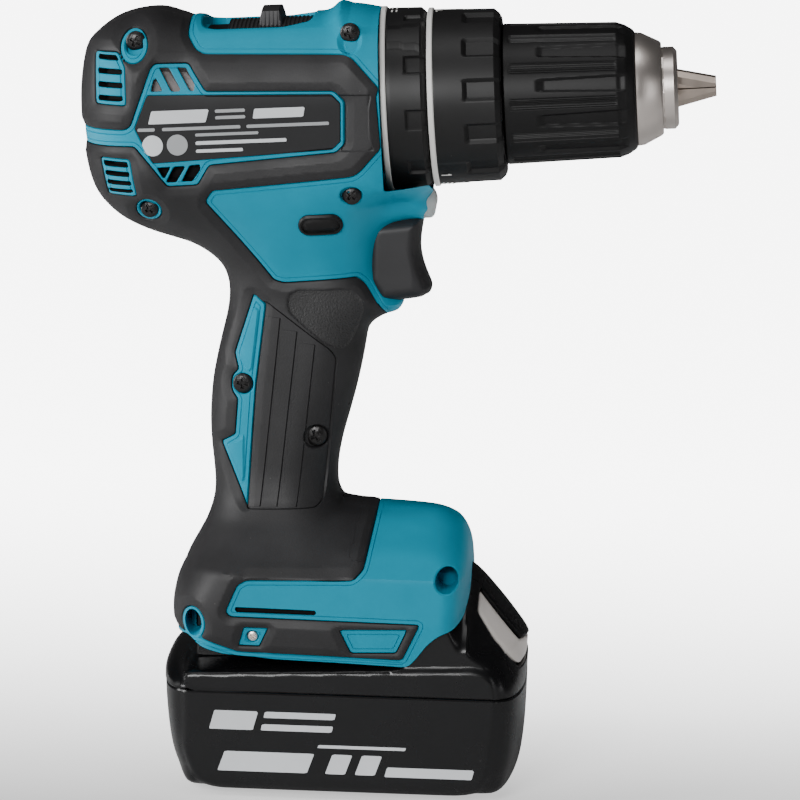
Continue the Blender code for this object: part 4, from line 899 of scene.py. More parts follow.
WINDOWS = tuple(rounded(tool(p), 0.35) for p in (
    [(-73.4, 8.5), (-71.9, 13.4), (-69.5, 8.5)],
    [(-70.5, 15.6), (-67.6, 15.6), (-63.8, 8.3), (-67.0, 8.3)],
    [(-65.1, 15.5), (-62.4, 15.3), (-59.8, 10.2), (-60.1, 8.2), (-61.3, 8.2)],
    [(-72.7, -14.8), (-68.3, -14.6), (-70.4, -18.2), (-71.1, -18.0)],
    [(-67.5, -14.6), (-63.7, -14.5), (-67.0, -19.6), (-70.3, -19.6)],
    [(-62.6, -14.4), (-59.2, -14.2), (-59.3, -15.8), (-62.0, -19.4), (-65.4, -19.4)]))
SLOTS = tuple(rounded(tool(p), 0.4) for p in (
    [(-89.9, 19.9), (-83.9, 19.7), (-82.9, 18.1), (-90.0, 18.3)],
    [(-90.2, 15.7), (-82.0, 15.5), (-82.0, 13.8), (-90.2, 14.0)],
    [(-90.3, 11.6), (-82.1, 11.4), (-82.1, 9.7), (-90.3, 9.9)],
    [(-90.4, 7.5), (-82.2, 7.3), (-82.2, 5.6), (-90.4, 5.8)],
    [(-90.0, -12.7), (-81.9, -13.0), (-81.7, -14.7), (-89.9, -14.5)],
    [(-89.7, -15.8), (-81.6, -16.1), (-81.4, -17.7), (-89.6, -17.5)],
    [(-89.5, -18.8), (-81.3, -19.1), (-81.1, -20.6), (-89.3, -20.4)],
    [(-89.2, -21.7), (-81.0, -21.9), (-80.9, -23.2), (-89.0, -23.0)]))
OPENINGS = tuple(Region(f"opening {k}", (outline,)) for k, outline in enumerate((*WINDOWS, *SLOTS)))
FRONT_STEP = Region("front step", (rounded(tool([(-17.0, 5.6), (-15.0, 3.4), (-15.6, -10.2), (-17.5, -12.0),
                                                 (-5.9, -12.3), (-7.3, -8.0), (-7.0, 1.0), (-6.0, 5.2)]),
                                                 0.8),))
RECESS = Region("recess", (rounded(tool([(-61.2, 34), (-58.0, 25.9), (-54, 25.2), (-33, 25.1), (-24.6, 26.6),
                                         (-23, 34)]),
                                   1.4),))
DECK = Region("deck", (rounded(tool([(-66, 36), (-58.6, 24.0), (-20.8, 24.3), (-15.5, 28.2), (-17.5, 36)]),
                               1.0),))
POCKETS_IN_HEAD = (rounded(tool([(-77.8, 19.2), (-80.9, 20.6), (-81.4, 23.6), (-78.3, 26.2), (-75.3, 23.6),
                                 (-75.6, 20.6)]),
                           3.0), oval(tool([(-76.8, -28.6)])[0], 3.2, 2.9))
POCKETS = Region("pockets", (*POCKETS_IN_HEAD, oval(tool([(-13.9, -25.9)])[0], 3.5, 2.8),
                             oval((-22.4, 110.2), 3.75, 3.75), oval((-45.3, 126.2), 3.3, 3.3),
                             oval((-39.2, 51.2), 1.9, 1.9)))
DROP = Region("drop", (rounded(tool([(-12.5, 16.6), (-15.9, 19.0), (-16.1, 22.8), (-12.4, 26.4), (-8.9, 22.8),
                                     (-9.1, 19.0)]),
                               3.0),))
HOLES = Region("holes", (oval((-58.0, 54.2), 2.9, 4.2), oval((20.1, 70.3), 3.5, 3.8)))
THIN_SLOT = Region("thin slot", (rounded([(-44.7, 60.5), (-19.6, 60.2), (-19.6, 58.7), (-44.7, 58.9)], 0.2),))
STRIP_RISE = Region("strip rise", (rounded([(-42.4, 150.6), (-40.6, 149.6), (-42.4, 130.8), (-43.9, 129.6),
                                            (-47.0, 134.6)],
                                           0.7),
                                   rounded([(-50.3, 106.9), (-46.1, 108.5), (-44.6, 111), (-44.2, 95.6),
                                            (-44.9, 94.4)], 0.7)))
GROOVES = (
    Groove("groove 1", ((-34.0, 147.4), (-39.0, 87.9))),
    Groove("groove 2", ((-28.7, 143.7), (-33.8, 87.7))),
    Groove("groove 3", ((-23.1, 139.8), (-27.9, 87.4))),
    Groove("band groove", ((-56.4, 48.5), (-49.0, 46.6), (-32.3, 45.5), (-8.0, 44.9), (7.4, 44.4)), 0.18,
           0.25),
    Groove("foot seam", ((-1.2, 93.5), (-1.9, 91.4), (-3.3, 86.4), (-5.4, 74.0)), 0.3, 0.35),
)

CASING_RELIEFS = (
    Relief(GRIP, ((-1.62, 0.0), (-1.44, -0.32), (-1.26, -0.06), (-0.3, -0.06), (0.0, -0.7), (0.15, 0.1),
                  (0.7, 0.4), (2.6, 1.05)),
           everywhere=False),
    Relief(PAD, ((-0.5, 0.0), (0.0, -0.1), (0.6, -0.5)),),
    Relief(PLATE, ((-0.12, 0.0), (0.12, -0.8), (0.38, -0.45))),
    Relief(LABEL_AREA, ((-0.25, 0.0), (0.0, -0.3), (0.15, -0.1))),
    Relief(FRONT_STEP, ((0.0, 0.0), (0.5, -0.55))),
    Relief(RECESS, ((-0.4, 0.0), (0.0, -0.4), (0.15, -3.2))),
    Relief(DECK, ((-3.0, 0.0), (-0.1, 0.7), (0.1, 0.7), (3.4, 0.0))),
    Relief(POCKETS, ((-0.35, 0.0), (0.0, -0.35), (0.15, -2.2)), both=False),
    Relief(DROP, ((-0.4, 0.0), (0.0, -0.4), (0.9, -1.7)), both=False),
    Relief(HOLES, ((-0.5, 0.0), (0.0, -0.5), (0.2, -13.0)), straight=True),
    Relief(THIN_SLOT, ((0.0, 0.0), (0.12, -1.5))),
    Relief(STRIP_RISE, ((0.0, 0.0), (0.5, 0.45))),
    *(Relief(opening, ((-0.2, 0.0), (0.0, -0.2), (0.15, -3.0))) for opening in OPENINGS),
)
CASING_PIECES = (
    (GRIP, RUBBER),
    (PAD, LEATHER),
    (LABEL_AREA, LABEL),
    *((opening, INTERIOR if k < 3 else DARK) for k, opening in enumerate(OPENINGS)),
    (Region("thin slot floor", THIN_SLOT.outlines), DARK),
    (Region("recess floor", (rounded(tool([(-59.6, 34), (-57.2, 27.2), (-53.6, 26.5), (-33.2, 26.4),
                                           (-26.2, 27.4), (-25, 34)]), 1.0),)), DARK),
)


@dataclass
class Casing(Assembly):
    """Both halves of the casing with their overmoulded grips.

    Args:
        stem: Heights and the half widths there: a wide foot, a slim handle and a wide head.
        front: Heights and the half widths there in the foot's front, which is lower than its rear.
        reach: Heights and how far in from the outline the full half width is met there.
        nose_half_width: The half width of the nose under the rings.
        nose_reach: How far in the nose meets its full half width.
        corner_reach: How far in the foot's front corners meet their full half width.
        edge_power: The power of the edges' curve.
        corner_power: The power of the curve at the foot's front corners.
        fine_step: The grid's size on the right half.
        coarse_step: The grid's size on the left half.
    """

    stem: Table = ((40, 57, 69.5, 71, 74, 79, 84, 91, 100, 152, 160, 186, 192),
                   (37.2, 38.6, 38.6, 36.8, 32.8, 27.0, 22.0, 18.2, 17.0, 16.6, 17.6, 29.6, 31.0))
    front: Table = ((40, 57, 70.5, 83.3, 86.0, 90), (37.2, 38.6, 38.4, 19.5, 14.0, 12.0))
    reach: Table = ((45, 62, 80, 100, 150, 186), (15.0, 16.0, 18.0, 17.5, 18.0, 27.0))
    nose_half_width: float = 12.5
    nose_reach: float = 9.0
    corner_reach: float = 9.5
    edge_power: float = 2.4
    corner_power: float = 3.2
    fine_step: float = 0.8
    coarse_step: float = 1.3

    @staticmethod
    def nose_share(x: np.ndarray, z: np.ndarray) -> np.ndarray:
        """One in the nose under the rings, falling to zero over 15 mm behind it and 7 mm above it."""
        u, w = tool_place(x, z)
        return np.clip((u + 17) / 15, 0, 1) * np.clip((-w - 24) / 7, 0, 1) * (z > 140)

    @staticmethod
    def corner_share(x: np.ndarray, z: np.ndarray) -> np.ndarray:
        """One in the foot's front, falling to zero over 20 mm behind it and 10 mm above it."""
        return np.clip((x + 25) / 20, 0, 1) * np.clip((82 - z) / 10, 0, 1)

    def half_width(self, x: np.ndarray, z: np.ndarray) -> np.ndarray:
        """The half width: the stem's curve over the height, blended into the front's and into the nose's.

        Args:
            x, z: The places, as arrays of one shape.

        Returns:
            The half widths.
        """
        stem = eased(z, *self.stem)
        low = mix(stem, np.interp(z, *self.front), (x + 16) / 9) * (z < 120) + stem * (z >= 120)
        return mix(low, np.full_like(low, self.nose_half_width), self.nose_share(x, z))

    def shoulder(self, x: np.ndarray, z: np.ndarray) -> np.ndarray:
        """How far in the full half width is met: the reach's curve, shorter in the corners and the nose.

        Args:
            x, z: The places, as arrays of one shape.

        Returns:
            The reaches.
        """
        reach = eased(z, *self.reach)
        reach = mix(reach, np.full_like(reach, self.corner_reach), self.corner_share(x, z))
        return mix(reach, np.full_like(reach, self.nose_reach), self.nose_share(x, z))

    def squareness(self, x: np.ndarray, z: np.ndarray) -> np.ndarray:
        """The power of the edge's curve, larger and so squarer at the foot's front corners."""
        return mix(np.full_like(x, self.edge_power), np.full_like(x, self.corner_power),
                   self.corner_share(x, z))

    def skin(self, step: float = 1.0) -> Skin:
        """The half surface with everything on it, at a grid size."""
        hull = Hull(CASING_OUTLINE, self.half_width, self.shoulder, self.squareness)
        return Skin(hull, CASING_RELIEFS, CASING_PIECES, TEAL, (FRONT_CUT, FOOT_CUT), step, GROOVES)

    def build(self) -> list[bpy.types.Object]:
        """Builds both halves, each cut into its finishes.

        Returns:
            The pieces.
        """
        pieces = []
        for side, step in ((Side.RIGHT, self.fine_step), (Side.LEFT, self.coarse_step)):
            word = side.name.lower()
            half = self.skin(step).build(f"casing_{word}", side, "drill")
            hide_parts(f"housing_{word}")
            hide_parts(f"grip_{word}")
            pieces += half
        return pieces


# ------------------------------------------------------------------ the small parts on the casing
def patch(name: str, outline: np.ndarray, skin: Skin, profile: Points, finish: Finish, ride: str,
          side: Side = Side.RIGHT, step: float = 0.5) -> bpy.types.Object:
    """Builds a small raised piece that follows a skin.

    Args:
        name: Its name.
        outline: Its outline in the side view.
        skin: The skin whose hull it follows.
        profile: Pairs of (distance inside its edge, height over the hull).
        finish: Its finish.
        ride: The CAD body that it moves with.
        side: Which side it is on.
        step: The grid's size.

    Returns:
        The piece.
    """
    region = Region(name, (outline,))
    relief = Relief(region, tuple(profile))
    sheet = Sheet(tuple(outline.min(0) - 0.1), tuple(outline.max(0) + 0.1), step)
    sheet.values["edge"] = distance(sheet.plan, skin.hull.outline, 60.0)[0]
    for level in EDGE_LEVELS:
        sheet.cut("edge", level)
    sheet.keep(sheet.mean("edge") > 0)
    sheet.values[name] = region.depth(sheet.plan)
    for at, _ in profile:
        sheet.cut(name, at)
    sheet.keep(sheet.mean(name) > 0)
    spots = skin.lift(sheet, side, (relief,))
    triangles = sheet.triangles if side is Side.RIGHT else sheet.triangles[:, ::-1]
    return piece(name, spots, triangles, finish, ride)


SPINDLE_AXES = np.array([[math.cos(TILT), 0, math.sin(TILT)], [-math.sin(TILT), 0, math.cos(TILT)],
                         [0, -1.0, 0]])
SPINDLE_ORIGIN = np.array([0, 0, AXIS_HEIGHT])


def revolve(name: str, profile: Points, finish: Finish, ride: str, count: int,
            relief: Optional[Callable] = None, angle: float = 32.0) -> bpy.types.Object:
    """Turns a profile round the chuck's axis: radius times cosine goes up, radius times sine to the right.

    Args:
        name: The piece's name.
        profile: Pairs of (station along the axis, radius).
        finish: Its finish.
        ride: The CAD body that it moves with.
        count: How many steps round.
        relief: Gives what to add to the radius at a station, an angle and a radius.
        angle: Edges sharper than this many degrees stay sharp.

    Returns:
        The piece.
    """
    station, radius = np.array([p[:2] for p in profile], float).T
    turn = np.linspace(0, 2 * math.pi, count, endpoint=False)
    s, t = np.meshgrid(station, turn, indexing="ij")
    r = np.repeat(radius[:, None], count, 1)
    if relief:
        r = r + relief(s, t, r)
    spots = (SPINDLE_ORIGIN + s[..., None] * SPINDLE_AXES[0] + (r * np.cos(t))[..., None] * SPINDLE_AXES[1]
             + (r * np.sin(t))[..., None] * SPINDLE_AXES[2]).reshape(-1, 3)
    i, j = np.meshgrid(np.arange(len(station) - 1), np.arange(count), indexing="ij")
    i, j, k = i.ravel(), j.ravel(), (j.ravel() + 1) % count
    faces = np.column_stack([(i + 1) * count + j, (i + 1) * count + k, i * count + k, i * count + j])
    return piece(name, spots, faces, finish, ride, angle)


@dataclass(frozen=True)
class ScrewHead:
    """A cross-head screw in the right side.

    Args:
        name: The CAD node that it stands for.
        spot: Where it is, in x and z.
        deep: How far its rim is below the casing's surface there.
        radius: The head's radius.
        turn: How far the cross is turned, in degrees.
        finish: Its finish.
        slot: A slot name, handed on to stand_in, which does not use it.
    """

    name: str
    spot: tuple[float, float]
    deep: float
    radius: float
    turn: float
    finish: Finish = SCREW
    slot: str = "blackened_screw"


@dataclass
class Screws(Assembly):
    """The casing's screws, with domed heads and cross recesses.

    Args:
        casing: The casing that they are in.
        dome: The dome's height over the radius.
        bulge: The power of the dome's curve.
        arm_length: Half the cross's length over the radius.
        arm_width: Half the arms' width over the radius.
        cross_depth: The cross's depth over the radius.
        skirt: How far the head's side goes down.
        count: How many steps round.
    """

    casing: Casing
    dome: float = 0.399
    bulge: float = 2.2
    arm_length: float = 0.58
    arm_width: float = 0.17
    cross_depth: float = 1.1 / 3
    skirt: float = 1.2
    count: int = 120

    def heads(self) -> list[ScrewHead]:
        """The seven screws.

        Returns:
            The heads.
        """
        head = tool([(-77.9, 23.3), (-12.4, 23.2), (-76.6, -28.5), (-13.9, -25.9)])
        return [ScrewHead("housing_screw_1", head[0], 1.2, 3.0, 25),
                ScrewHead("housing_screw_2", head[1], 0.6, 3.0, -20),
                ScrewHead("housing_screw_3", head[2], 2.0, 2.8, 50),
                ScrewHead("housing_screw_4", head[3], 2.0, 2.9, 40),
                ScrewHead("housing_screw_5", (-45.4, 126.2), 1.4, 3.1, 5),
                ScrewHead("housing_screw_6", (-22.4, 110.3), 1.6, 3.3, -30),
                ScrewHead("housing_screw_7", (-39.2, 51.2), 1.2, 1.6, 30, NICKEL, "steel")]

    def build(self) -> list[bpy.types.Object]:
        """Builds each head as a disc of rings: a dome, less the cross where both arms' ramps are met.

        Returns:
            The pieces.
        """
        hull = self.casing.skin().hull
        share = np.concatenate([[0.0], np.linspace(0.04, 0.98, 34), [1.0, 1.0, 0.9]])
        turn = np.linspace(0, 2 * math.pi, self.count, endpoint=False)
        i, j = np.meshgrid(np.arange(len(share) - 1), np.arange(self.count), indexing="ij")
        i, j, k = i.ravel(), j.ravel(), (j.ravel() + 1) % self.count
        first = np.column_stack([i * self.count + j, (i + 1) * self.count + j, (i + 1) * self.count + k])
        second = np.column_stack([i * self.count + j, (i + 1) * self.count + k, i * self.count + k])[i > 0]
        first[i == 0, 0] = 0
        pieces = []
        for screw in self.heads():
            rim = float(hull.surface(np.array([screw.spot]))[0][0]) - screw.deep
            dome = self.dome * np.sqrt(np.clip(1 - (share * 0.93) ** self.bulge, 0, 1)) * screw.radius
            dome[-2:] = -self.skirt
            r, t = np.meshgrid(share * screw.radius, turn, indexing="ij")
            across = np.abs(r * np.cos(t + math.radians(screw.turn)))
            along = np.abs(r * np.sin(t + math.radians(screw.turn)))
            cross = (np.clip((self.arm_width * screw.radius - np.minimum(across, along)) / 0.16, 0, 1)
                     * np.clip((self.arm_length * screw.radius - np.maximum(across, along)) / 0.3, 0, 1))
            height = dome[:, None] + rim - cross * self.cross_depth * screw.radius
            spots = np.stack([screw.spot[0] + r * np.cos(t), -height, screw.spot[1] + r * np.sin(t)], -1)
            made = piece(screw.name + "_head", spots.reshape(-1, 3), np.vstack([first, second]), screw.finish,
                         "drill", 50)
            pieces.append(stand_in(made, screw.name, screw.slot))
        return pieces


def round_edge(x: np.ndarray, z: np.ndarray) -> np.ndarray:
    """An even, nearly round edge."""
    return np.full_like(x, 2.3)


def even(value: float) -> Callable:
    """A function of x and z that gives the same value everywhere."""
    return lambda x, z: np.full_like(x, value)


@dataclass
class DirectionLever(Assembly):
    """The rotation lever: a raised pill with a rim round its pad.

    Args:
        casing: The casing that it stands on.
        rim: The outer pill.
        pad: The inner pill.
        rim_profile: Distances inside the rim's edge, and heights.
        pad_profile: Distances inside the pad's edge, and heights.
    """

    casing: Casing
    rim: np.ndarray = field(default_factory=lambda: pill((-30.8, -38.1), (-17.2, -31.4)))
    pad: np.ndarray = field(default_factory=lambda: pill((-29.5, -36.9), (-18.5, -32.5)))
    rim_profile: Points = ((0.0, -0.8), (0.02, 0.5), (0.5, 1.0), (1.0, 1.0), (1.15, 0.55))
    pad_profile: Points = ((0.0, 0.2), (0.05, 0.6), (0.9, 1.1), (1.6, 1.25))

    def build(self) -> list[bpy.types.Object]:
        """Builds the rim and the pad over the casing's surface.

        Returns:
            The pieces.
        """
        skin = self.casing.skin()
        rim = patch("direction_lever_rim", self.rim, skin, self.rim_profile, SLEEVE, "direction_lever")
        pad = patch("direction_lever_pad", self.pad, skin, self.pad_profile, SLEEVE, "direction_lever")
        return [stand_in(rim, "direction_lever", "black_plastic"), pad]


@dataclass
class Trigger(Assembly):
    """The trigger: a block with a hollow front.

    Args:
        outline: Its outline in x and z.
        half_width: Places along x and the half widths there.
        shoulder: How far in the full half width is met.
        front: The hollow front's area.
    """

    outline: np.ndarray = field(default_factory=lambda: rounded([
        (-7.5, 177.4, 1), (8.4, 179.6, 1.2), (9.6, 178.4, 1.2), (8.7, 172.5), (8.6, 168.0), (9.7, 163.4),
        (11.5, 159.2), (12.7, 156.6, 2), (11.8, 153.8, 1.5), (8.0, 152.8), (3.1, 152.0), (-4.0, 151.0, 1),
        (-9, 158, 1), (-9, 172, 1)], 99))
    half_width: Table = ((-10, 6, 14), (10.6, 10.6, 9.4))
    shoulder: float = 4.6
    front: np.ndarray = field(default_factory=lambda: rounded([
        (6.6, 190), (6.4, 172), (6.2, 167.5), (7.4, 162.5), (9.2, 158.6), (9.6, 156.6), (9.0, 140), (30, 140),
        (30, 190)], 3))

    def build(self) -> list[bpy.types.Object]:
        """Builds both halves of the block.

        Returns:
            The pieces.
        """
        hull = Hull(self.outline, lambda x, z: np.interp(x, *self.half_width), even(self.shoulder),
                    round_edge)
        step = Relief(Region("trigger step", (self.front,)), ((-0.7, 0.0), (0.0, -0.15), (0.8, -0.45)))
        skin = Skin(hull, (step,), (), TRIGGER, (), 0.5)
        halves = [skin.build("trigger_" + side.name.lower(), side, "trigger")[0] for side in Side]
        return [stand_in(half, "trigger", "black_plastic") for half in halves]


@dataclass
class Lamp(Assembly):
    """The lamp's lens in the nose.

    Args:
        outline: Its outline in the tool frame.
        half_width: Half its width.
        shoulder: How far in it meets that.
    """

    outline: Points = ((4.6, -37.2), (4.8, -28.5), (9.9, -28.4), (11.0, -31.5), (9.6, -37.4))
    half_width: float = 9.2
    shoulder: float = 3.4

    def build(self) -> list[bpy.types.Object]:
        """Builds both halves of the lens.

        Returns:
            The pieces.
        """
        hull = Hull(rounded(tool(self.outline), 1.4), even(self.half_width), even(self.shoulder), round_edge)
        skin = Skin(hull, (), (), LENS, (), 0.5)
        halves = [skin.build("lamp_lens_" + side.name.lower(), side, "drill")[0] for side in Side]
        return [stand_in(half, "lamp_lens", "lens") for half in halves]


@dataclass
class Selector(Assembly):
    """The speed selector: a finely ribbed plate with a tab that stands up from it.

    Args:
        rear: Where the plate starts along the tool's axis.
        front: Where it ends.
        half_width: Half its width.
        height: How far its middle is from the axis.
        bow: How much it falls for each square millimetre off the middle.
        pitch: The ribs' spacing.
        rib: The ribs' half height.
        tab: The tab's start and end.
        tab_half_width: Half the tab's width.
        tab_height: The tab's height.
    """

    rear: float = -51.0
    front: float = -24.2
    half_width: float = 13.2
    height: float = 26.4
    bow: float = 0.01302
    pitch: float = 1.25
    rib: float = 0.22
    tab: tuple[float, float] = (-41.4, -33.8)
    tab_half_width: float = 9.6
    tab_height: float = 4.0

    def build(self) -> list[bpy.types.Object]:
        """Builds a grid: a falling parabola with clipped sine ribs and the tab's ramps on it.

        Returns:
            The pieces.
        """
        count, rows = 200, 41
        u, y = np.meshgrid(np.linspace(self.rear, self.front, count),
                           np.linspace(-self.half_width, self.half_width, rows), indexing="ij")
        ribs = self.rib * np.clip(np.sin((u - self.rear) * 2 * math.pi / self.pitch) * 2.2, -1, 1)
        tab = (np.clip((u - self.tab[0]) / 1.1, 0, 1) * np.clip((self.tab[1] - u) / 1.1, 0, 1)
               * np.clip((self.tab_half_width - np.abs(y)) / 1.0, 0, 1))
        edge = (np.clip(np.minimum(u - self.rear, self.front - u) / 0.5, 0, 1)
                * np.clip((self.half_width - np.abs(y)) / 0.5, 0, 1))
        w = (self.height - self.bow * y ** 2 + ribs * (1 - tab) * edge + self.tab_height * tab
             - 1.2 * (1 - edge))
        spots = (SPINDLE_ORIGIN + u[..., None] * SPINDLE_AXES[0] + w[..., None] * SPINDLE_AXES[1]
                 - y[..., None] * SPINDLE_AXES[2]).reshape(-1, 3)
        made = piece("speed_selector_top", spots, grid_faces(count, rows), TRIGGER, "speed_selector", 30)
        return [stand_in(made, "speed_selector", "black_plastic")]


def grid_faces(across: int, up: int, closed: bool = False) -> np.ndarray:
    """The faces of a grid of vertices.

    Args:
        across: How many rows of vertices.
        up: How many vertices in a row.
        closed: Whether each row's end joins its start.

    Returns:
        Rows of four vertex numbers.
    """
    i, j = np.meshgrid(np.arange(across - 1), np.arange(up if closed else up - 1), indexing="ij")
    i, j = i.ravel(), j.ravel()
    k = (j + 1) % up
    return np.column_stack([i * up + j, (i + 1) * up + j, (i + 1) * up + k, i * up + k])


@dataclass(frozen=True)
class Bar:
    """A printed, slanted bar.

    Args:
        low: Its lowest corner.
        high: Its highest corner.
        slant: How far its top is moved along.
        finish: Its finish.
    """

    low: tuple[float, float]
    high: tuple[float, float]
    slant: float = 0.0
    finish: Finish = MARKS

    def outline(self) -> np.ndarray:
        """Its outline with softened corners."""
        low, high, slant = self.low, self.high, self.slant
        return rounded([low, (high[0], low[1]), (high[0] + slant, high[1]), (low[0] + slant, high[1])], 0.25)


@dataclass
class LabelMarks(Assembly):
    """Plain bars and discs on the label where lettering would be.

    Args:
        casing: The casing that holds the label.
        bars: The bars, in the tool frame.
        discs: Pairs of a disc's place along the tool's axis and its finish.
        disc_height: The discs' height in the tool frame.
        disc_radius: The discs' radius.
        profile: Distances inside a mark's edge, and heights.
    """

    casing: Casing
    bars: tuple[Bar, ...] = (
        Bar((-74.6, -1.4), (-57.0, 2.6), 1.2), Bar((-54.0, 1.4), (-44.8, 2.4), 0, PALE_MARKS),
        Bar((-54.0, -0.6), (-44.8, 0.4), 0, PALE_MARKS), Bar((-42.6, -0.8), (-27.2, 2.2), 0.6),
        Bar((-78.0, -3.6), (-72.6, -2.6), 0, PALE_MARKS), Bar((-70.4, -3.6), (-46.4, -2.6), 0, PALE_MARKS),
        Bar((-44.6, -3.6), (-19.4, -2.6), 0, PALE_MARKS), Bar((-60.4, -5.6), (-41.0, -4.7), 0, PALE_MARKS),
        Bar((-60.4, -8.2), (-32.6, -7.1)), Bar((-60.4, -10.6), (-46.0, -9.6)))
    discs: tuple[tuple[float, Finish], ...] = ((-73.6, MARKS), (-66.0, PALE_MARKS))
    disc_height: float = -8.0
    disc_radius: float = 3.2
    profile: Points = ((0.0, -0.08), (0.02, -0.03))

    def build(self) -> list[bpy.types.Object]:
        """Prints the bars and the discs.

        Returns:
            The pieces.
        """
        skin = self.casing.skin()
        shapes = [(f"label_bar_{k}", np.array(tool(bar.outline().tolist())), bar.finish)
                  for k, bar in enumerate(self.bars)]
        for k, (u, finish) in enumerate(self.discs):
            centre = tool([(u, self.disc_height)])[0]
            shapes.append((f"label_disc_{k}", oval(centre, self.disc_radius, self.disc_radius), finish))
        return [patch(name, outline, skin, self.profile, finish, "drill") for name, outline, finish in shapes]


# ------------------------------------------------------------------ the rings and the chuck
def bump(value: np.ndarray, low: float, high: float, ramp: float) -> np.ndarray:
    """One between low and high, falling to zero over a ramp outside them."""
    return np.clip(np.minimum(value - low, high - value) / ramp + 1, 0, 1)


def around(turn: np.ndarray, count: int, start: float) -> np.ndarray:
    """The signed angle in degrees to the nearest of some evenly spaced places.

    Args:
        turn: Angles in radians.
        count: How many places.
        start: One of them, in degrees.

    Returns:
        The angles to the nearest place.
    """
    pitch = 360.0 / count
    return (np.degrees(turn) - start + pitch / 2) % pitch - pitch / 2


def dense(profile: Points, step: float = 0.5) -> list[tuple[float, float]]:
    """The same profile with extra points, so that none is further than a step from the next.

    Args:
        profile: The profile's points, as distance along the axis and radius.
        step: The longest gap between two of them.

    Returns:
        The points and the new ones between them.
    """
    made = [profile[0]]
    for a, b in zip(profile, profile[1:]):
        count = max(1, int(math.ceil(math.hypot(b[0] - a[0], b[1] - a[1]) / step)))
        made += [(a[0] + (b[0] - a[0]) * k / count, a[1] + (b[1] - a[1]) * k / count)
                 for k in range(1, count + 1)]
    return made


@dataclass
class ModeRing(Assembly):
    """The ring that chooses drilling, driving or hammering, with its white band.

    Args:
        profile: Stations along the axis and radii.
        band: The same for the band.
        pads: How many sunk pads it has.
        first_pad: One pad's angle in degrees.
        pointer: The raised pointer's angle in degrees.
        count: How many steps round.
    """

    profile: Points = ((-2.6, 22.0), (-2.6, 27.2), (-1.9, 27.9), (-1.0, 28.0), (8.4, 27.9), (9.9, 26.6),
                       (10.2, 22.0))
    band: Points = ((-3.9, 24.0), (-3.9, 28.2), (-3.6, 28.6), (-2.4, 28.6), (-2.1, 28.3), (-2.1, 24.0))
    pads: int = 10
    first_pad: float = 61.5
    pointer: float = 41.0
    count: int = 540

    def relief(self, s: np.ndarray, t: np.ndarray, r: np.ndarray) -> np.ndarray:
        """Sunk pads, each a bump in the angle times one along the axis, and one broad raised pointer.

        Args:
            s: Distances along the axis.
            t: Angles about it, in radians.
            r: Radii of the profile.

        Returns:
            How far each point is raised.
        """
        gap = around(t, self.pads, self.first_pad)
        pad = bump(np.abs(gap), -10, 5.4, 1.3) * bump(s, 4.2, 20.0, 0.8)
        off = np.abs((np.degrees(t) - self.pointer + 180) % 360 - 180)
        reach = np.interp(s, [-2.0, 2.6, 3.4, 7.2, 9.6], [10.0, 10.0, 11.5, 11.5, 15.0])
        raised = np.clip((reach - off) / 5.0, 0, 1) * bump(s, -1.6, 9.0, 0.5)
        return (-0.85 * pad * (off > 15) + 0.8 * raised) * (r > 26)

    def build(self) -> list[bpy.types.Object]:
        """Turns the ring and its band.

        Returns:
            The pieces.
        """
        ring = revolve("mode_ring_body", dense(self.profile, 0.4), RING, "mode_ring", self.count, self.relief,
                       25)
        band = revolve("mode_ring_band", self.band, WHITE, "mode_ring", 180)
        return [stand_in(ring, "mode_ring", "black_plastic"), band]


@dataclass
class TorqueRing(Assembly):
    """The ring that sets the clutch, with its white band.

    Args:
        profile: Stations along the axis and radii.
        band: The same for the band.
        pads: How many sunk panels it has.
        first_pad: One panel's angle in degrees.
        count: How many steps round.
    """

    profile: Points = ((11.6, 22.0), (11.6, 26.8), (12.2, 27.0), (30.8, 26.6), (32.4, 25.2), (32.9, 24.2),
                       (32.9, 19.0))
    band: Points = ((10.45, 23.0), (10.45, 27.2), (10.7, 27.6), (11.9, 27.6), (12.2, 27.3), (12.2, 23.0))
    pads: int = 12
    first_pad: float = 79.6
    count: int = 600

    def relief(self, s: np.ndarray, t: np.ndarray, r: np.ndarray) -> np.ndarray:
        """Bevelled sunk panels round the front half: a bump in the angle times one along the axis."""
        gap = around(t, self.pads, self.first_pad)
        return -1.2 * bump(np.abs(gap), -20, 5.2, 2.4) * bump(s, 22.4, 40.0, 1.2) * (r > 24)

    def build(self) -> list[bpy.types.Object]:
        """Turns the ring and its band.

        Returns:
            The pieces.
        """
        ring = revolve("torque_ring_body", dense(self.profile, 0.5), RING, "torque_ring", self.count,
                       self.relief, 25)
        band = revolve("torque_ring_band", self.band, WHITE, "torque_ring", 180)
        return [stand_in(ring, "torque_ring", "black_plastic"), band]


DIGITS = {"1": ((0, 0, 0, 1), (0, 1, -0.35, 0.78)), "2": ((0, 1, 1, 1), (1, 1, 1, 0.5), (1, 0.5, 0, 0.5),
                                                          (0, 0.5, 0, 0), (0, 0, 1, 0)),
          "3": ((0, 1, 1, 1), (1, 1, 1, 0), (0, 0.5, 1, 0.5), (0, 0, 1, 0)),
          "4": ((0, 1, 0, 0.5), (0, 0.5, 1, 0.5), (1, 1, 1, 0)),
          "5": ((1, 1, 0, 1), (0, 1, 0, 0.5), (0, 0.5, 1, 0.5), (1, 0.5, 1, 0), (1, 0, 0, 0)),
          "7": ((0, 1, 1, 1), (1, 1, 0.4, 0)), "9": ((1, 0.5, 0, 0.5), (0, 0.5, 0, 1), (0, 1, 1, 1),
                                                     (1, 1, 1, 0))}


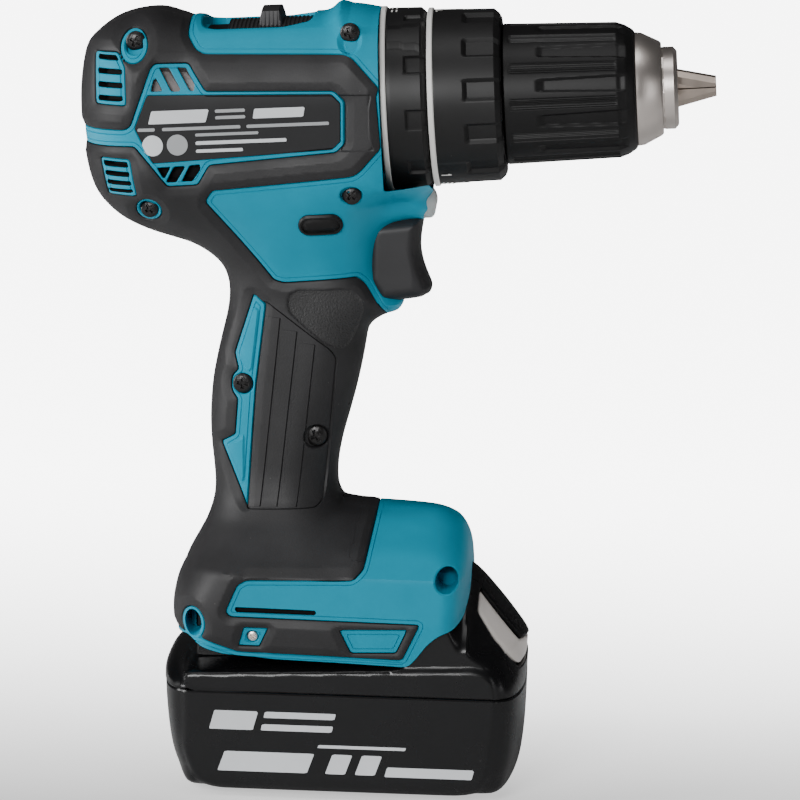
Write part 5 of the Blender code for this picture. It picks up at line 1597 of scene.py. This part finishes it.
def stroke_faces(strokes: Sequence[tuple], place: Callable, wide: float) -> tuple[np.ndarray, np.ndarray]:
    """Builds flat bars along strokes.

    Args:
        strokes: Rows of start and end (x, y, x, y).
        place: Puts flat points onto the surface.
        wide: The bars' width.

    Returns:
        Vertices and faces.
    """
    spots, faces = [], []
    for x0, y0, x1, y1 in strokes:
        a, b = np.array([x0, y0], float), np.array([x1, y1], float)
        along = (b - a) / np.linalg.norm(b - a) * wide / 2
        side = np.array([-along[1], along[0]])
        corners = np.array([a - along - side, b + along - side, b + along + side, a - along + side])
        faces.append(np.arange(4) + len(spots) * 4)
        spots.append(place(corners))
    return np.vstack(spots), np.array(faces)


@dataclass
class RingMarks(Assembly):
    """The numbers and marks printed round the back edges of both rings.

    Args:
        tall: The digits' height.
        across: The digits' width.
        torque_radius: Where the torque ring's marks stand.
        mode_radius: Where the mode ring's marks stand.
        start: Where the torque ring's marks start along the axis.
    """

    tall: float = 2.6
    across: float = 1.5
    torque_radius: float = 27.12
    mode_radius: float = 28.1
    start: float = 13.4

    @staticmethod
    def on_ring(radius: float, start: float, turn: float) -> Callable:
        """Gives what bends flat points round a ring: their first value is arc length, their second a station.

        Args:
            radius: The ring's radius.
            start: Where the points' base is along the axis.
            turn: Their angle in degrees.

        Returns:
            The function.
        """
        def place(flat: np.ndarray) -> np.ndarray:
            """Flat points on the ring.

            Args:
                flat: Points as distances round the ring and along it.

            Returns:
                Their places.
            """
            t = math.radians(turn) + flat[:, 0] / radius
            return (SPINDLE_ORIGIN + (start + flat[:, 1])[:, None] * SPINDLE_AXES[0]
                    + (radius * np.cos(t))[:, None] * SPINDLE_AXES[1]
                    + (radius * np.sin(t))[:, None] * SPINDLE_AXES[2])
        return place

    def build(self) -> list[bpy.types.Object]:
        """Prints the digits and the ticks, joined into one piece for each ring.

        Returns:
            The pieces.
        """
        size = np.array([self.across, self.tall, self.across, self.tall])
        torque = [stroke_faces(np.array(DIGITS[digit], float) * size,
                               self.on_ring(self.torque_radius, self.start, 146 + 15 * k), 0.55)
                  for k, digit in enumerate("13579")]
        torque += [stroke_faces([(0, 0, 0, 2.0)], self.on_ring(self.torque_radius, self.start, -8 - 14 * k),
                                0.6)
                   for k in range(6)]
        torque.append(stroke_faces([(-1.2, 0, 1.2, 0), (0, 0, 0, 1.6)],
                                   self.on_ring(self.torque_radius, self.start - 0.2, 6.0), 0.5))
        mode = [stroke_faces([(0, 0, 1.6, 0), (0, 1.4, 1.6, 1.4)], self.on_ring(self.mode_radius, -0.4, turn),
                             0.5)
                for turn in (-6.0, 2.0, 9.0)]
        pieces = []
        for body, parts in (("torque_ring", torque), ("mode_ring", mode)):
            starts = np.cumsum([0] + [len(p[0]) for p in parts[:-1]])
            faces = np.vstack([p[1] + start for p, start in zip(parts, starts)])
            pieces.append(piece(body + "_marks", np.vstack([p[0] for p in parts]), faces, WHITE, body))
        return pieces


@dataclass
class Chuck(Assembly):
    """The chuck's sleeve, its metal cap and its nose.

    Args:
        sleeve: Stations along the axis and radii.
        cap: The same for the cap.
        nose: The same for the nose.
        pads: How many sunk pads and how many groups of lines the sleeve has.
        first_pad: One pad's angle in degrees.
        first_lines: One group's angle in degrees.
    """

    sleeve: Points = ((33.1, 17.0), (33.1, 21.2), (33.6, 21.7), (68.0, 20.9), (70.6, 20.0), (73.0, 18.5),
                      (73.6, 17.6), (73.7, 14.0))
    cap: Points = ((73.4, 12.0), (73.4, 17.2), (73.8, 17.5), (75.6, 17.3), (81.0, 14.6), (81.6, 14.0),
                   (81.6, 12.0))
    nose: Points = ((80.0, 11.4), (81.7, 11.4), (81.8, 12.3), (82.2, 12.7), (85.2, 12.7), (86.3, 11.5),
                    (86.4, 10.9), (86.4, 5.8), (85.9, 5.2), (80.0, 5.2))
    pads: int = 12
    first_pad: float = 77.3
    first_lines: float = 62.3

    def relief(self, s: np.ndarray, t: np.ndarray, r: np.ndarray) -> np.ndarray:
        """Sunk pads that widen to the front and, between them, groups of lines that follow a cosine.

        Args:
            s: Distances along the axis.
            t: Angles about it, in radians.
            r: Radii of the profile.

        Returns:
            How far each point is raised.
        """
        gap = around(t, self.pads, self.first_pad)
        wide = np.interp(s, [44.5, 70], [3.6, 5.6])
        pad = np.clip((wide - np.abs(gap)) / 2.0 + 1, 0, 1) * bump(s, 45.5, 68.8, 2.2)
        other = around(t, self.pads, self.first_lines)
        group = bump(np.abs(other), -20, 4.9, 0.3) * bump(s, 35.4, 67.8, 0.3)
        lines = 0.5 + 0.5 * np.cos(other * 2 * math.pi / 1.4)
        return (-0.8 * pad - 0.22 * group * lines) * (r > 18)

    def build(self) -> list[bpy.types.Object]:
        """Turns the sleeve, the cap and the nose.

        Returns:
            The pieces.
        """
        sleeve = revolve("chuck_sleeve_body", dense(self.sleeve, 0.5), SLEEVE, "sleeve", 720, self.relief, 25)
        cap = revolve("chuck_cap_body", self.cap, NICKEL, "sleeve", 180)
        nose = revolve("chuck_nose", self.nose, NICKEL, "spindle", 180)
        return [stand_in(sleeve, "chuck_sleeve", "black_plastic"), stand_in(cap, "chuck_cap", "steel"), nose]


# ------------------------------------------------------------------ the battery
CASE_OUTLINE = rounded([(-68.6, 60, 0.1), (-68.4, 33), (-67.2, 19.5), (-65.4, 10.2), (-62.6, 4.6),
                        (-59.8, 1.0), (-55.5, 0.0), (33.4, 0.0), (38.2, 1.4), (41.5, 4.8), (43.4, 9.2),
                        (44.3, 17), (44.6, 26), (44.7, 33), (44.9, 60, 0.1)],
                       99.0, 6)
COVER_OUTLINE = rounded([(-68.5, 10, 0.1), (-68.4, 33), (-68.4, 37.4, 1.5), (-66.4, 39.7, 1.5), (-60, 39.9),
                         (5.0, 42.7), (7.0, 45.4), (10.6, 51.6), (14.6, 57.0), (18.4, 61.0), (20.6, 66.0),
                         (22.4, 69.2), (26.6, 69.2), (30.5, 66), (38.2, 57.2), (44.3, 49.2),
                         (45.3, 46.6), (45.0, 43.1), (44.6, 35), (44.8, 10, 0.1)], 4.0, 6)
PANEL = Region("panel", (rounded([(-60.6, 39.1), (-40, 40.0), (10, 42.0), (30.5, 42.9, 3), (35.6, 40.6, 3),
                                  (37.2, 33.0, 3), (36.2, 20), (34.8, 9.5), (32.5, 4.4, 3), (26, 2.2, 3),
                                  (-50, 2.2, 3), (-56.6, 5.2, 4), (-60.0, 15)], 2.0),))
BUTTON = rounded([(30.0, 62.9), (30.1, 57.9), (35.2, 50.5), (43.6, 41.0), (48.0, 41.0), (48.0, 46.0),
                  (43.4, 46.6)], 0.6)
BUTTON_SEAT = Region("button seat", (rounded([(29.7, 63.6), (29.6, 57.8), (34.9, 49.9), (43.4, 40.3),
                                              (48.6, 40.3), (48.6, 46.5), (43.8, 47.1)], 0.7),))


@dataclass
class Battery(Assembly):
    """The battery's case, its cover with the raised front, and the button.

    Args:
        half_width: Heights and the half widths there: full up to the deck, narrower up the raised front.
        side_reach: How far in from the outline the sides meet the full half width.
        foot_reach: The same near the bottom.
        lip_reach: The same along the deck's edge.
        crown_reach: The same on the raised front's crown.
        edge_power: The power of the edges' curve.
        crown_power: The power on the crown, near one for its nearly straight slopes.
        seam: The height where the case meets the cover.
        panel: Distances inside the raised panel's edge, and heights.
        seam_profile: The same for the seam's bevels.
        seat: The same for the button's seat.
        button: The same for the button.
    """

    half_width: Table = ((0, 6, 41.4, 50, 60, 70), (34.6, 36.6, 36.9, 36.6, 36.0, 33.0))
    side_reach: float = 8.5
    foot_reach: float = 4.5
    lip_reach: float = 2.2
    crown_reach: float = 15.0
    edge_power: float = 2.6
    crown_power: float = 1.35
    seam: float = 33.5
    panel: Points = ((-1.2, 0.0), (-0.8, 0.1), (-0.4, 0.28), (0.0, 0.52), (0.4, 0.78), (0.8, 1.0),
                     (1.2, 1.16), (1.6, 1.25))
    seam_profile: Points = ((-0.5, 0.0), (0.0, -0.35))
    seat: Points = ((-0.3, 0.0), (0.0, -0.3), (0.15, -4.6))
    button: Points = ((0.0, -1.6), (0.03, -0.9), (0.6, -0.5))

    @staticmethod
    def crown(x: np.ndarray, z: np.ndarray) -> np.ndarray:
        """One on the raised front's crown, falling to zero over 12 mm behind it and 13 mm below it."""
        return np.clip((x - 16) / 12, 0, 1) * np.clip((z - 35) / 13, 0, 1)

    def shoulder(self, x: np.ndarray, z: np.ndarray) -> np.ndarray:
        """How far in the full half width is met: the sides' reach blended into the foot, lip and crown.

        Args:
            x, z: The places, as arrays of one shape.

        Returns:
            The reaches.
        """
        plain = mix(np.full_like(x, self.side_reach), np.full_like(x, self.foot_reach),
                    np.clip((9 - z) / 6, 0, 1))
        lip = (np.clip((x + 68.4 - 43.0 + z) / 4.0, 0, 1) * np.clip((z - self.seam) / 1.5, 0, 1)
               * np.clip((26 - x) / 6, 0, 1))
        edged = mix(plain, np.full_like(x, self.lip_reach), lip)
        return mix(edged, np.full_like(x, self.crown_reach), self.crown(x, z))

    def squareness(self, x: np.ndarray, z: np.ndarray) -> np.ndarray:
        """The power of the edge's curve, blended into the crown's."""
        return mix(np.full_like(x, self.edge_power), np.full_like(x, self.crown_power), self.crown(x, z))

    def hull(self, outline: np.ndarray) -> Hull:
        """The half body inside an outline."""
        return Hull(outline, lambda x, z: eased(z, *self.half_width), self.shoulder, self.squareness)

    def beyond_seam(self, name: str, sign: float) -> Region:
        """The area above the seam, or below it for a negative sign, with a narrow gap between both."""
        edge, far = self.seam - 0.12 * sign, self.seam + 56 * sign
        return Region(name, (rounded([(-90, edge), (90, edge), (90, far), (-90, far)], 0.01),))

    def build(self) -> list[bpy.types.Object]:
        """Builds both halves of the case, the cover and the button.

        Returns:
            The pieces.
        """
        above, below = self.beyond_seam("above the seam", 1.0), self.beyond_seam("below the seam", -1.0)
        raised, seat = Relief(PANEL, self.panel), Relief(BUTTON_SEAT, self.seat)
        crest = Relief(Region("case edge", above.outlines), self.seam_profile)
        foot = Relief(Region("cover edge", below.outlines), self.seam_profile)
        case_hull, cover_hull = self.hull(CASE_OUTLINE), self.hull(COVER_OUTLINE)
        case = Skin(case_hull, (raised, crest), (), CASE, (above,), 1.0)
        cover = Skin(cover_hull, (raised, foot, seat), (), CASE, (below,), 0.6)
        pieces = []
        for side in Side:
            word = side.name.lower()
            made = case.build("battery_case_" + word, side, "battery")[0]
            pieces.append(stand_in(made, "battery_case", "battery_plastic"))
            made = cover.build("battery_cover_" + word, side, "battery")[0]
            pieces.append(stand_in(made, "battery_cover", "battery_plastic"))
            made = patch("battery_button_" + word, BUTTON, Skin(cover_hull, (), (), GREY, (), 0.6),
                         self.button, GREY, "battery_button", side)
            pieces.append(stand_in(made, "battery_button", "light_grey"))
        return pieces


@dataclass
class BatteryMarks(Assembly):
    """Plain bars on the battery's right side where lettering would be.

    Args:
        battery: The battery.
        bars: The bars, in x and z.
        profile: Distances inside a mark's edge, and heights.
    """

    battery: Battery
    bars: tuple[Bar, ...] = (
        Bar((-49.4, 8.4), (-21.6, 14.7), 2.2), Bar((-18.6, 16.6), (8.6, 17.6), 0.5),
        Bar((-16.0, 8.4), (-9.8, 14.7), 2.2), Bar((-6.8, 8.4), (-0.6, 14.7), 2.2),
        Bar((2.4, 8.1), (29.4, 11.2), 0.8), Bar((-52.2, 21.6), (-38.6, 27.6), 1.6),
        Bar((-36.2, 21.6), (-14.2, 23.6), 0.5), Bar((-35.4, 25.6), (-13.4, 27.6), 0.5))
    profile: Points = ((0.0, 1.2), (0.02, 1.32))

    def build(self) -> list[bpy.types.Object]:
        """Prints the bars.

        Returns:
            The pieces.
        """
        skin = Skin(self.battery.hull(CASE_OUTLINE), (), (), CASE, (), 1.0)
        return [patch(f"battery_mark_{k}", bar.outline(), skin, self.profile, bar.finish, "battery", step=0.6)
                for k, bar in enumerate(self.bars)]


@dataclass(frozen=True)
class Slab:
    """A slab with chamfered edges.

    Args:
        name: Its name.
        low: Its lowest corner.
        high: Its highest corner.
        finish: Its finish.
        ride: The CAD body that it moves with.
        edge: The chamfer's size.
    """

    name: str
    low: tuple[float, float, float]
    high: tuple[float, float, float]
    finish: Finish
    ride: str
    edge: float = 0.6

    def build(self) -> bpy.types.Object:
        """Builds it as four rings of eight corners, the outer two drawn in, with flat ends.

        Returns:
            The slab.
        """
        (x0, y0, z0), (x1, y1, z1), edge = self.low, self.high, self.edge
        plan = np.array([(x0 + edge, y0), (x1 - edge, y0), (x1, y0 + edge), (x1, y1 - edge), (x1 - edge, y1),
                         (x0 + edge, y1), (x0, y1 - edge), (x0, y0 + edge)])
        inward = np.sign(plan - plan.mean(0)) * edge
        levels = ((z0, 1.0), (z0 + edge, 0.0), (z1 - edge, 0.0), (z1, 1.0))
        spots = np.vstack([np.column_stack([plan - inward * drawn, np.full(8, z)]) for z, drawn in levels])
        faces = [row[::-1].tolist() for row in grid_faces(4, 8, True)]
        faces += [list(range(7, -1, -1)), list(range(24, 32))]
        mesh = bpy.data.meshes.new(self.name)
        mesh.from_pydata((spots * MM).tolist(), [], faces)
        mesh.validate()
        mesh.materials.append(material(self.finish))
        made = bpy.data.objects.new(self.name, mesh)
        bpy.context.scene.collection.objects.link(made)
        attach(made, self.ride)
        return made


@dataclass
class Rails(Assembly):
    """The battery's T-shaped tongue, and the foot's roof and rails that it slides between.

    Args:
        slabs: The slabs that make them.
    """

    slabs: tuple[Slab, ...] = (
        Slab("battery_tongue_neck", (-58.0, -19.6, 40.0), (16.0, 19.6, 51.0), CASE, "battery"),
        Slab("battery_tongue_flange", (-58.0, -23.6, 50.2), (16.0, 23.6, 57.0), CASE, "battery"),
        Slab("foot_roof", (-56.0, -33.0, 57.8), (13.0, 33.0, 59.4), DARK, "drill"),
        Slab("foot_rail_right", (-55.0, -34.0, 46.8), (6.5, -20.4, 49.6), DARK, "drill"),
        Slab("foot_rail_left", (-55.0, 20.4, 46.8), (6.5, 34.0, 49.6), DARK, "drill"))

    def build(self) -> list[bpy.types.Object]:
        """Builds each slab."""
        return [slab.build() for slab in self.slabs]


# ------------------------------------------------------------------ the stage
def facing(back: np.ndarray, right: np.ndarray, spot: Sequence[float]) -> Matrix:
    """The matrix of a camera or a light.

    Args:
        back: The unit direction away from what it looks at.
        right: The unit direction to its right.
        spot: Where it stands, in metres.

    Returns:
        The matrix, with back and right as axes and their cross product as up.
    """
    turn = np.eye(4)
    turn[:3, 0], turn[:3, 1], turn[:3, 2], turn[:3, 3] = right, np.cross(back, right), back, spot
    return Matrix(turn.tolist())


@dataclass(frozen=True)
class StudioLight:
    """A soft rectangular light.

    Args:
        name: Its name.
        spot: Where it stands, in metres.
        at: What it points at, in metres.
        size: Its width and height in metres.
        power: Its power in watts.
    """

    name: str
    spot: tuple[float, float, float]
    at: tuple[float, float, float]
    size: tuple[float, float]
    power: float

    def place(self) -> None:
        """Adds it to the scene."""
        lamp = bpy.data.lights.new(self.name, "AREA")
        lamp.shape = "RECTANGLE"
        lamp.size, lamp.size_y = self.size
        lamp.energy = self.power
        made = bpy.data.objects.new(self.name, lamp)
        back = np.array(self.spot) - np.array(self.at)
        back /= np.linalg.norm(back)
        right = np.cross([0, 0, 1.0], back)
        made.matrix_world = facing(back, right / np.linalg.norm(right), self.spot)
        bpy.context.scene.collection.objects.link(made)
        made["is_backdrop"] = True


@dataclass
class Stage(Assembly):
    """The camera, the floor, the surroundings and the lights.

    Args:
        yaw: How far the camera is turned to the drill's front, in degrees.
        pitch: How far it looks down, in degrees.
        roll: How far it leans, in degrees.
        away: How far it is from what it looks at.
        lens: Its focal length.
        at: What it looks at.
        surroundings: How bright the surroundings are.
        glow_from: Where behind the drill the floor's glow starts, in metres.
        glow_to: Where it is full, in metres.
        glow: How bright it is there.
        floor_half: Half the floor's width, in metres.
        lights: The lights.
    """

    yaw: float = 3.0
    pitch: float = 10.5
    roll: float = 1.3
    away: float = 1562.5
    lens: float = 225.0
    at: tuple[float, float, float] = (2.65, 0.0, 119.7)
    surroundings: float = 0.04
    glow_from: float = -0.16
    glow_to: float = 0.5
    glow: float = 7.0
    floor_half: float = 6.0
    lights: tuple[StudioLight, ...] = (
        StudioLight("key", (-0.35, -1.25, 0.6), (0, 0, 0.12), (0.5, 0.4), 14.0),
        StudioLight("top", (0.0, -0.25, 1.2), (0, 0, 0.1), (0.9, 0.4), 2.8),
        StudioLight("front fill", (0.9, -0.7, 0.3), (0, 0, 0.12), (0.3, 0.6), 0.9),
        StudioLight("rear rim", (-1.0, -0.3, 0.45), (0, 0, 0.15), (0.25, 0.9), 11.0))

    def place_camera(self) -> None:
        """Places the camera: nearly square to the right side, a little above and in front."""
        yaw, pitch, roll = (math.radians(angle) for angle in (self.yaw, self.pitch, self.roll))
        back = np.array([math.sin(yaw) * math.cos(pitch), -math.cos(yaw) * math.cos(pitch), math.sin(pitch)])
        level = np.array([math.cos(yaw), math.sin(yaw), 0.0])
        right = level * math.cos(roll) + np.cross(back, level) * math.sin(roll)
        camera = bpy.data.cameras.new("camera")
        camera.lens = self.lens
        camera.sensor_width = 36.0
        camera.clip_start = 0.05
        made = bpy.data.objects.new("camera", camera)
        made.matrix_world = facing(back, right, (np.array(self.at) + back * self.away) * MM)
        bpy.context.scene.collection.objects.link(made)
        bpy.context.scene.camera = made

    def floor_finish(self) -> bpy.types.Material:
        """The pale floor's material: it glows behind the drill, except in the drill's own reflections.

        Returns:
            The material.
        """
        painter = Painter(Finish("pale floor", (0.60, 0.60, 0.60), 0.9, grain=Grain.SMOOTH, shade=0.02,
                                 mottle=0.05))
        pale = painter.paint()
        split, glow, path, seen, shown = (painter.nodes.new(kind) for kind in (
            "ShaderNodeSeparateXYZ", "ShaderNodeMapRange", "ShaderNodeLightPath", "ShaderNodeMath",
            "ShaderNodeMath"))
        glow.interpolation_type = "SMOOTHSTEP"
        for key, value in (("From Min", self.glow_from), ("From Max", self.glow_to), ("To Max", self.glow)):
            glow.inputs[key].default_value = value
        seen.operation, shown.operation = "SUBTRACT", "MULTIPLY"
        seen.inputs[0].default_value = 1.0
        painter.shader.inputs["Emission Color"].default_value = (1, 1, 1, 1)
        for start, end in ((painter.place, split.inputs["Vector"]),
                           (split.outputs["Y"], glow.inputs["Value"]), (path.outputs["Is Glossy Ray"],
                                                                        seen.inputs[1]),
                           (glow.outputs["Result"], shown.inputs[0]), (seen.outputs["Value"],
                                                                       shown.inputs[1]),
                           (shown.outputs["Value"], painter.shader.inputs["Emission Strength"])):
            painter.links.new(start, end)
        return pale

    def build(self) -> list[bpy.types.Object]:
        """Places the camera, the surroundings and the lights, and builds the floor.

        Returns:
            The pieces.
        """
        self.place_camera()
        world = bpy.data.worlds.new("studio")
        world.use_nodes = True
        world.node_tree.nodes["Background"].inputs["Color"].default_value = (1, 1, 1, 1)
        world.node_tree.nodes["Background"].inputs["Strength"].default_value = self.surroundings
        bpy.context.scene.world = world
        mesh = bpy.data.meshes.new("floor")
        corners = [(-1, -1), (1, -1), (1, 1), (-1, 1)]
        mesh.from_pydata([(x * self.floor_half, y * self.floor_half, 0) for x, y in corners], [],
                         [(0, 1, 2, 3)])
        mesh.materials.append(self.floor_finish())
        floor = bpy.data.objects.new("floor", mesh)
        bpy.context.scene.collection.objects.link(floor)
        floor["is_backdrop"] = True
        for light in self.lights:
            light.place()
        return [floor]


def write_sizes(cad_box: Any, visual_box: Any) -> None:
    """Turns both boxes, in metres, into plain lists of corners.

    Args:
        cad_box: The frame's box.
        visual_box: The box of what shows.
    """
    plain = {name: np.array([list(corner) for corner in box], float).tolist()
             for name, box in (("cad", cad_box), ("visual", visual_box))}


def main(frame: dict) -> None:
    """Builds the drill and its stage, and reports each piece.

    Args:
        frame: What the frame's loader gave.
    """
    logging.basicConfig(level=logging.INFO)
    dress_frame(frame)
    casing, battery = Casing(), Battery()
    assemblies = (casing, Screws(casing), DirectionLever(casing), Trigger(), Lamp(), Selector(),
                  LabelMarks(casing), ModeRing(), TorqueRing(), RingMarks(), Chuck(), battery,
                  BatteryMarks(battery), Rails(), Stage())
    for assembly in assemblies:
        for made in assembly.build():
            LOG.info("%s has %d faces", made.name, len(made.data.polygons))


if __name__ == "__main__":
    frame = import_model()
    cad_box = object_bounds()
    main(frame)
    write_sizes(cad_box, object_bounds())
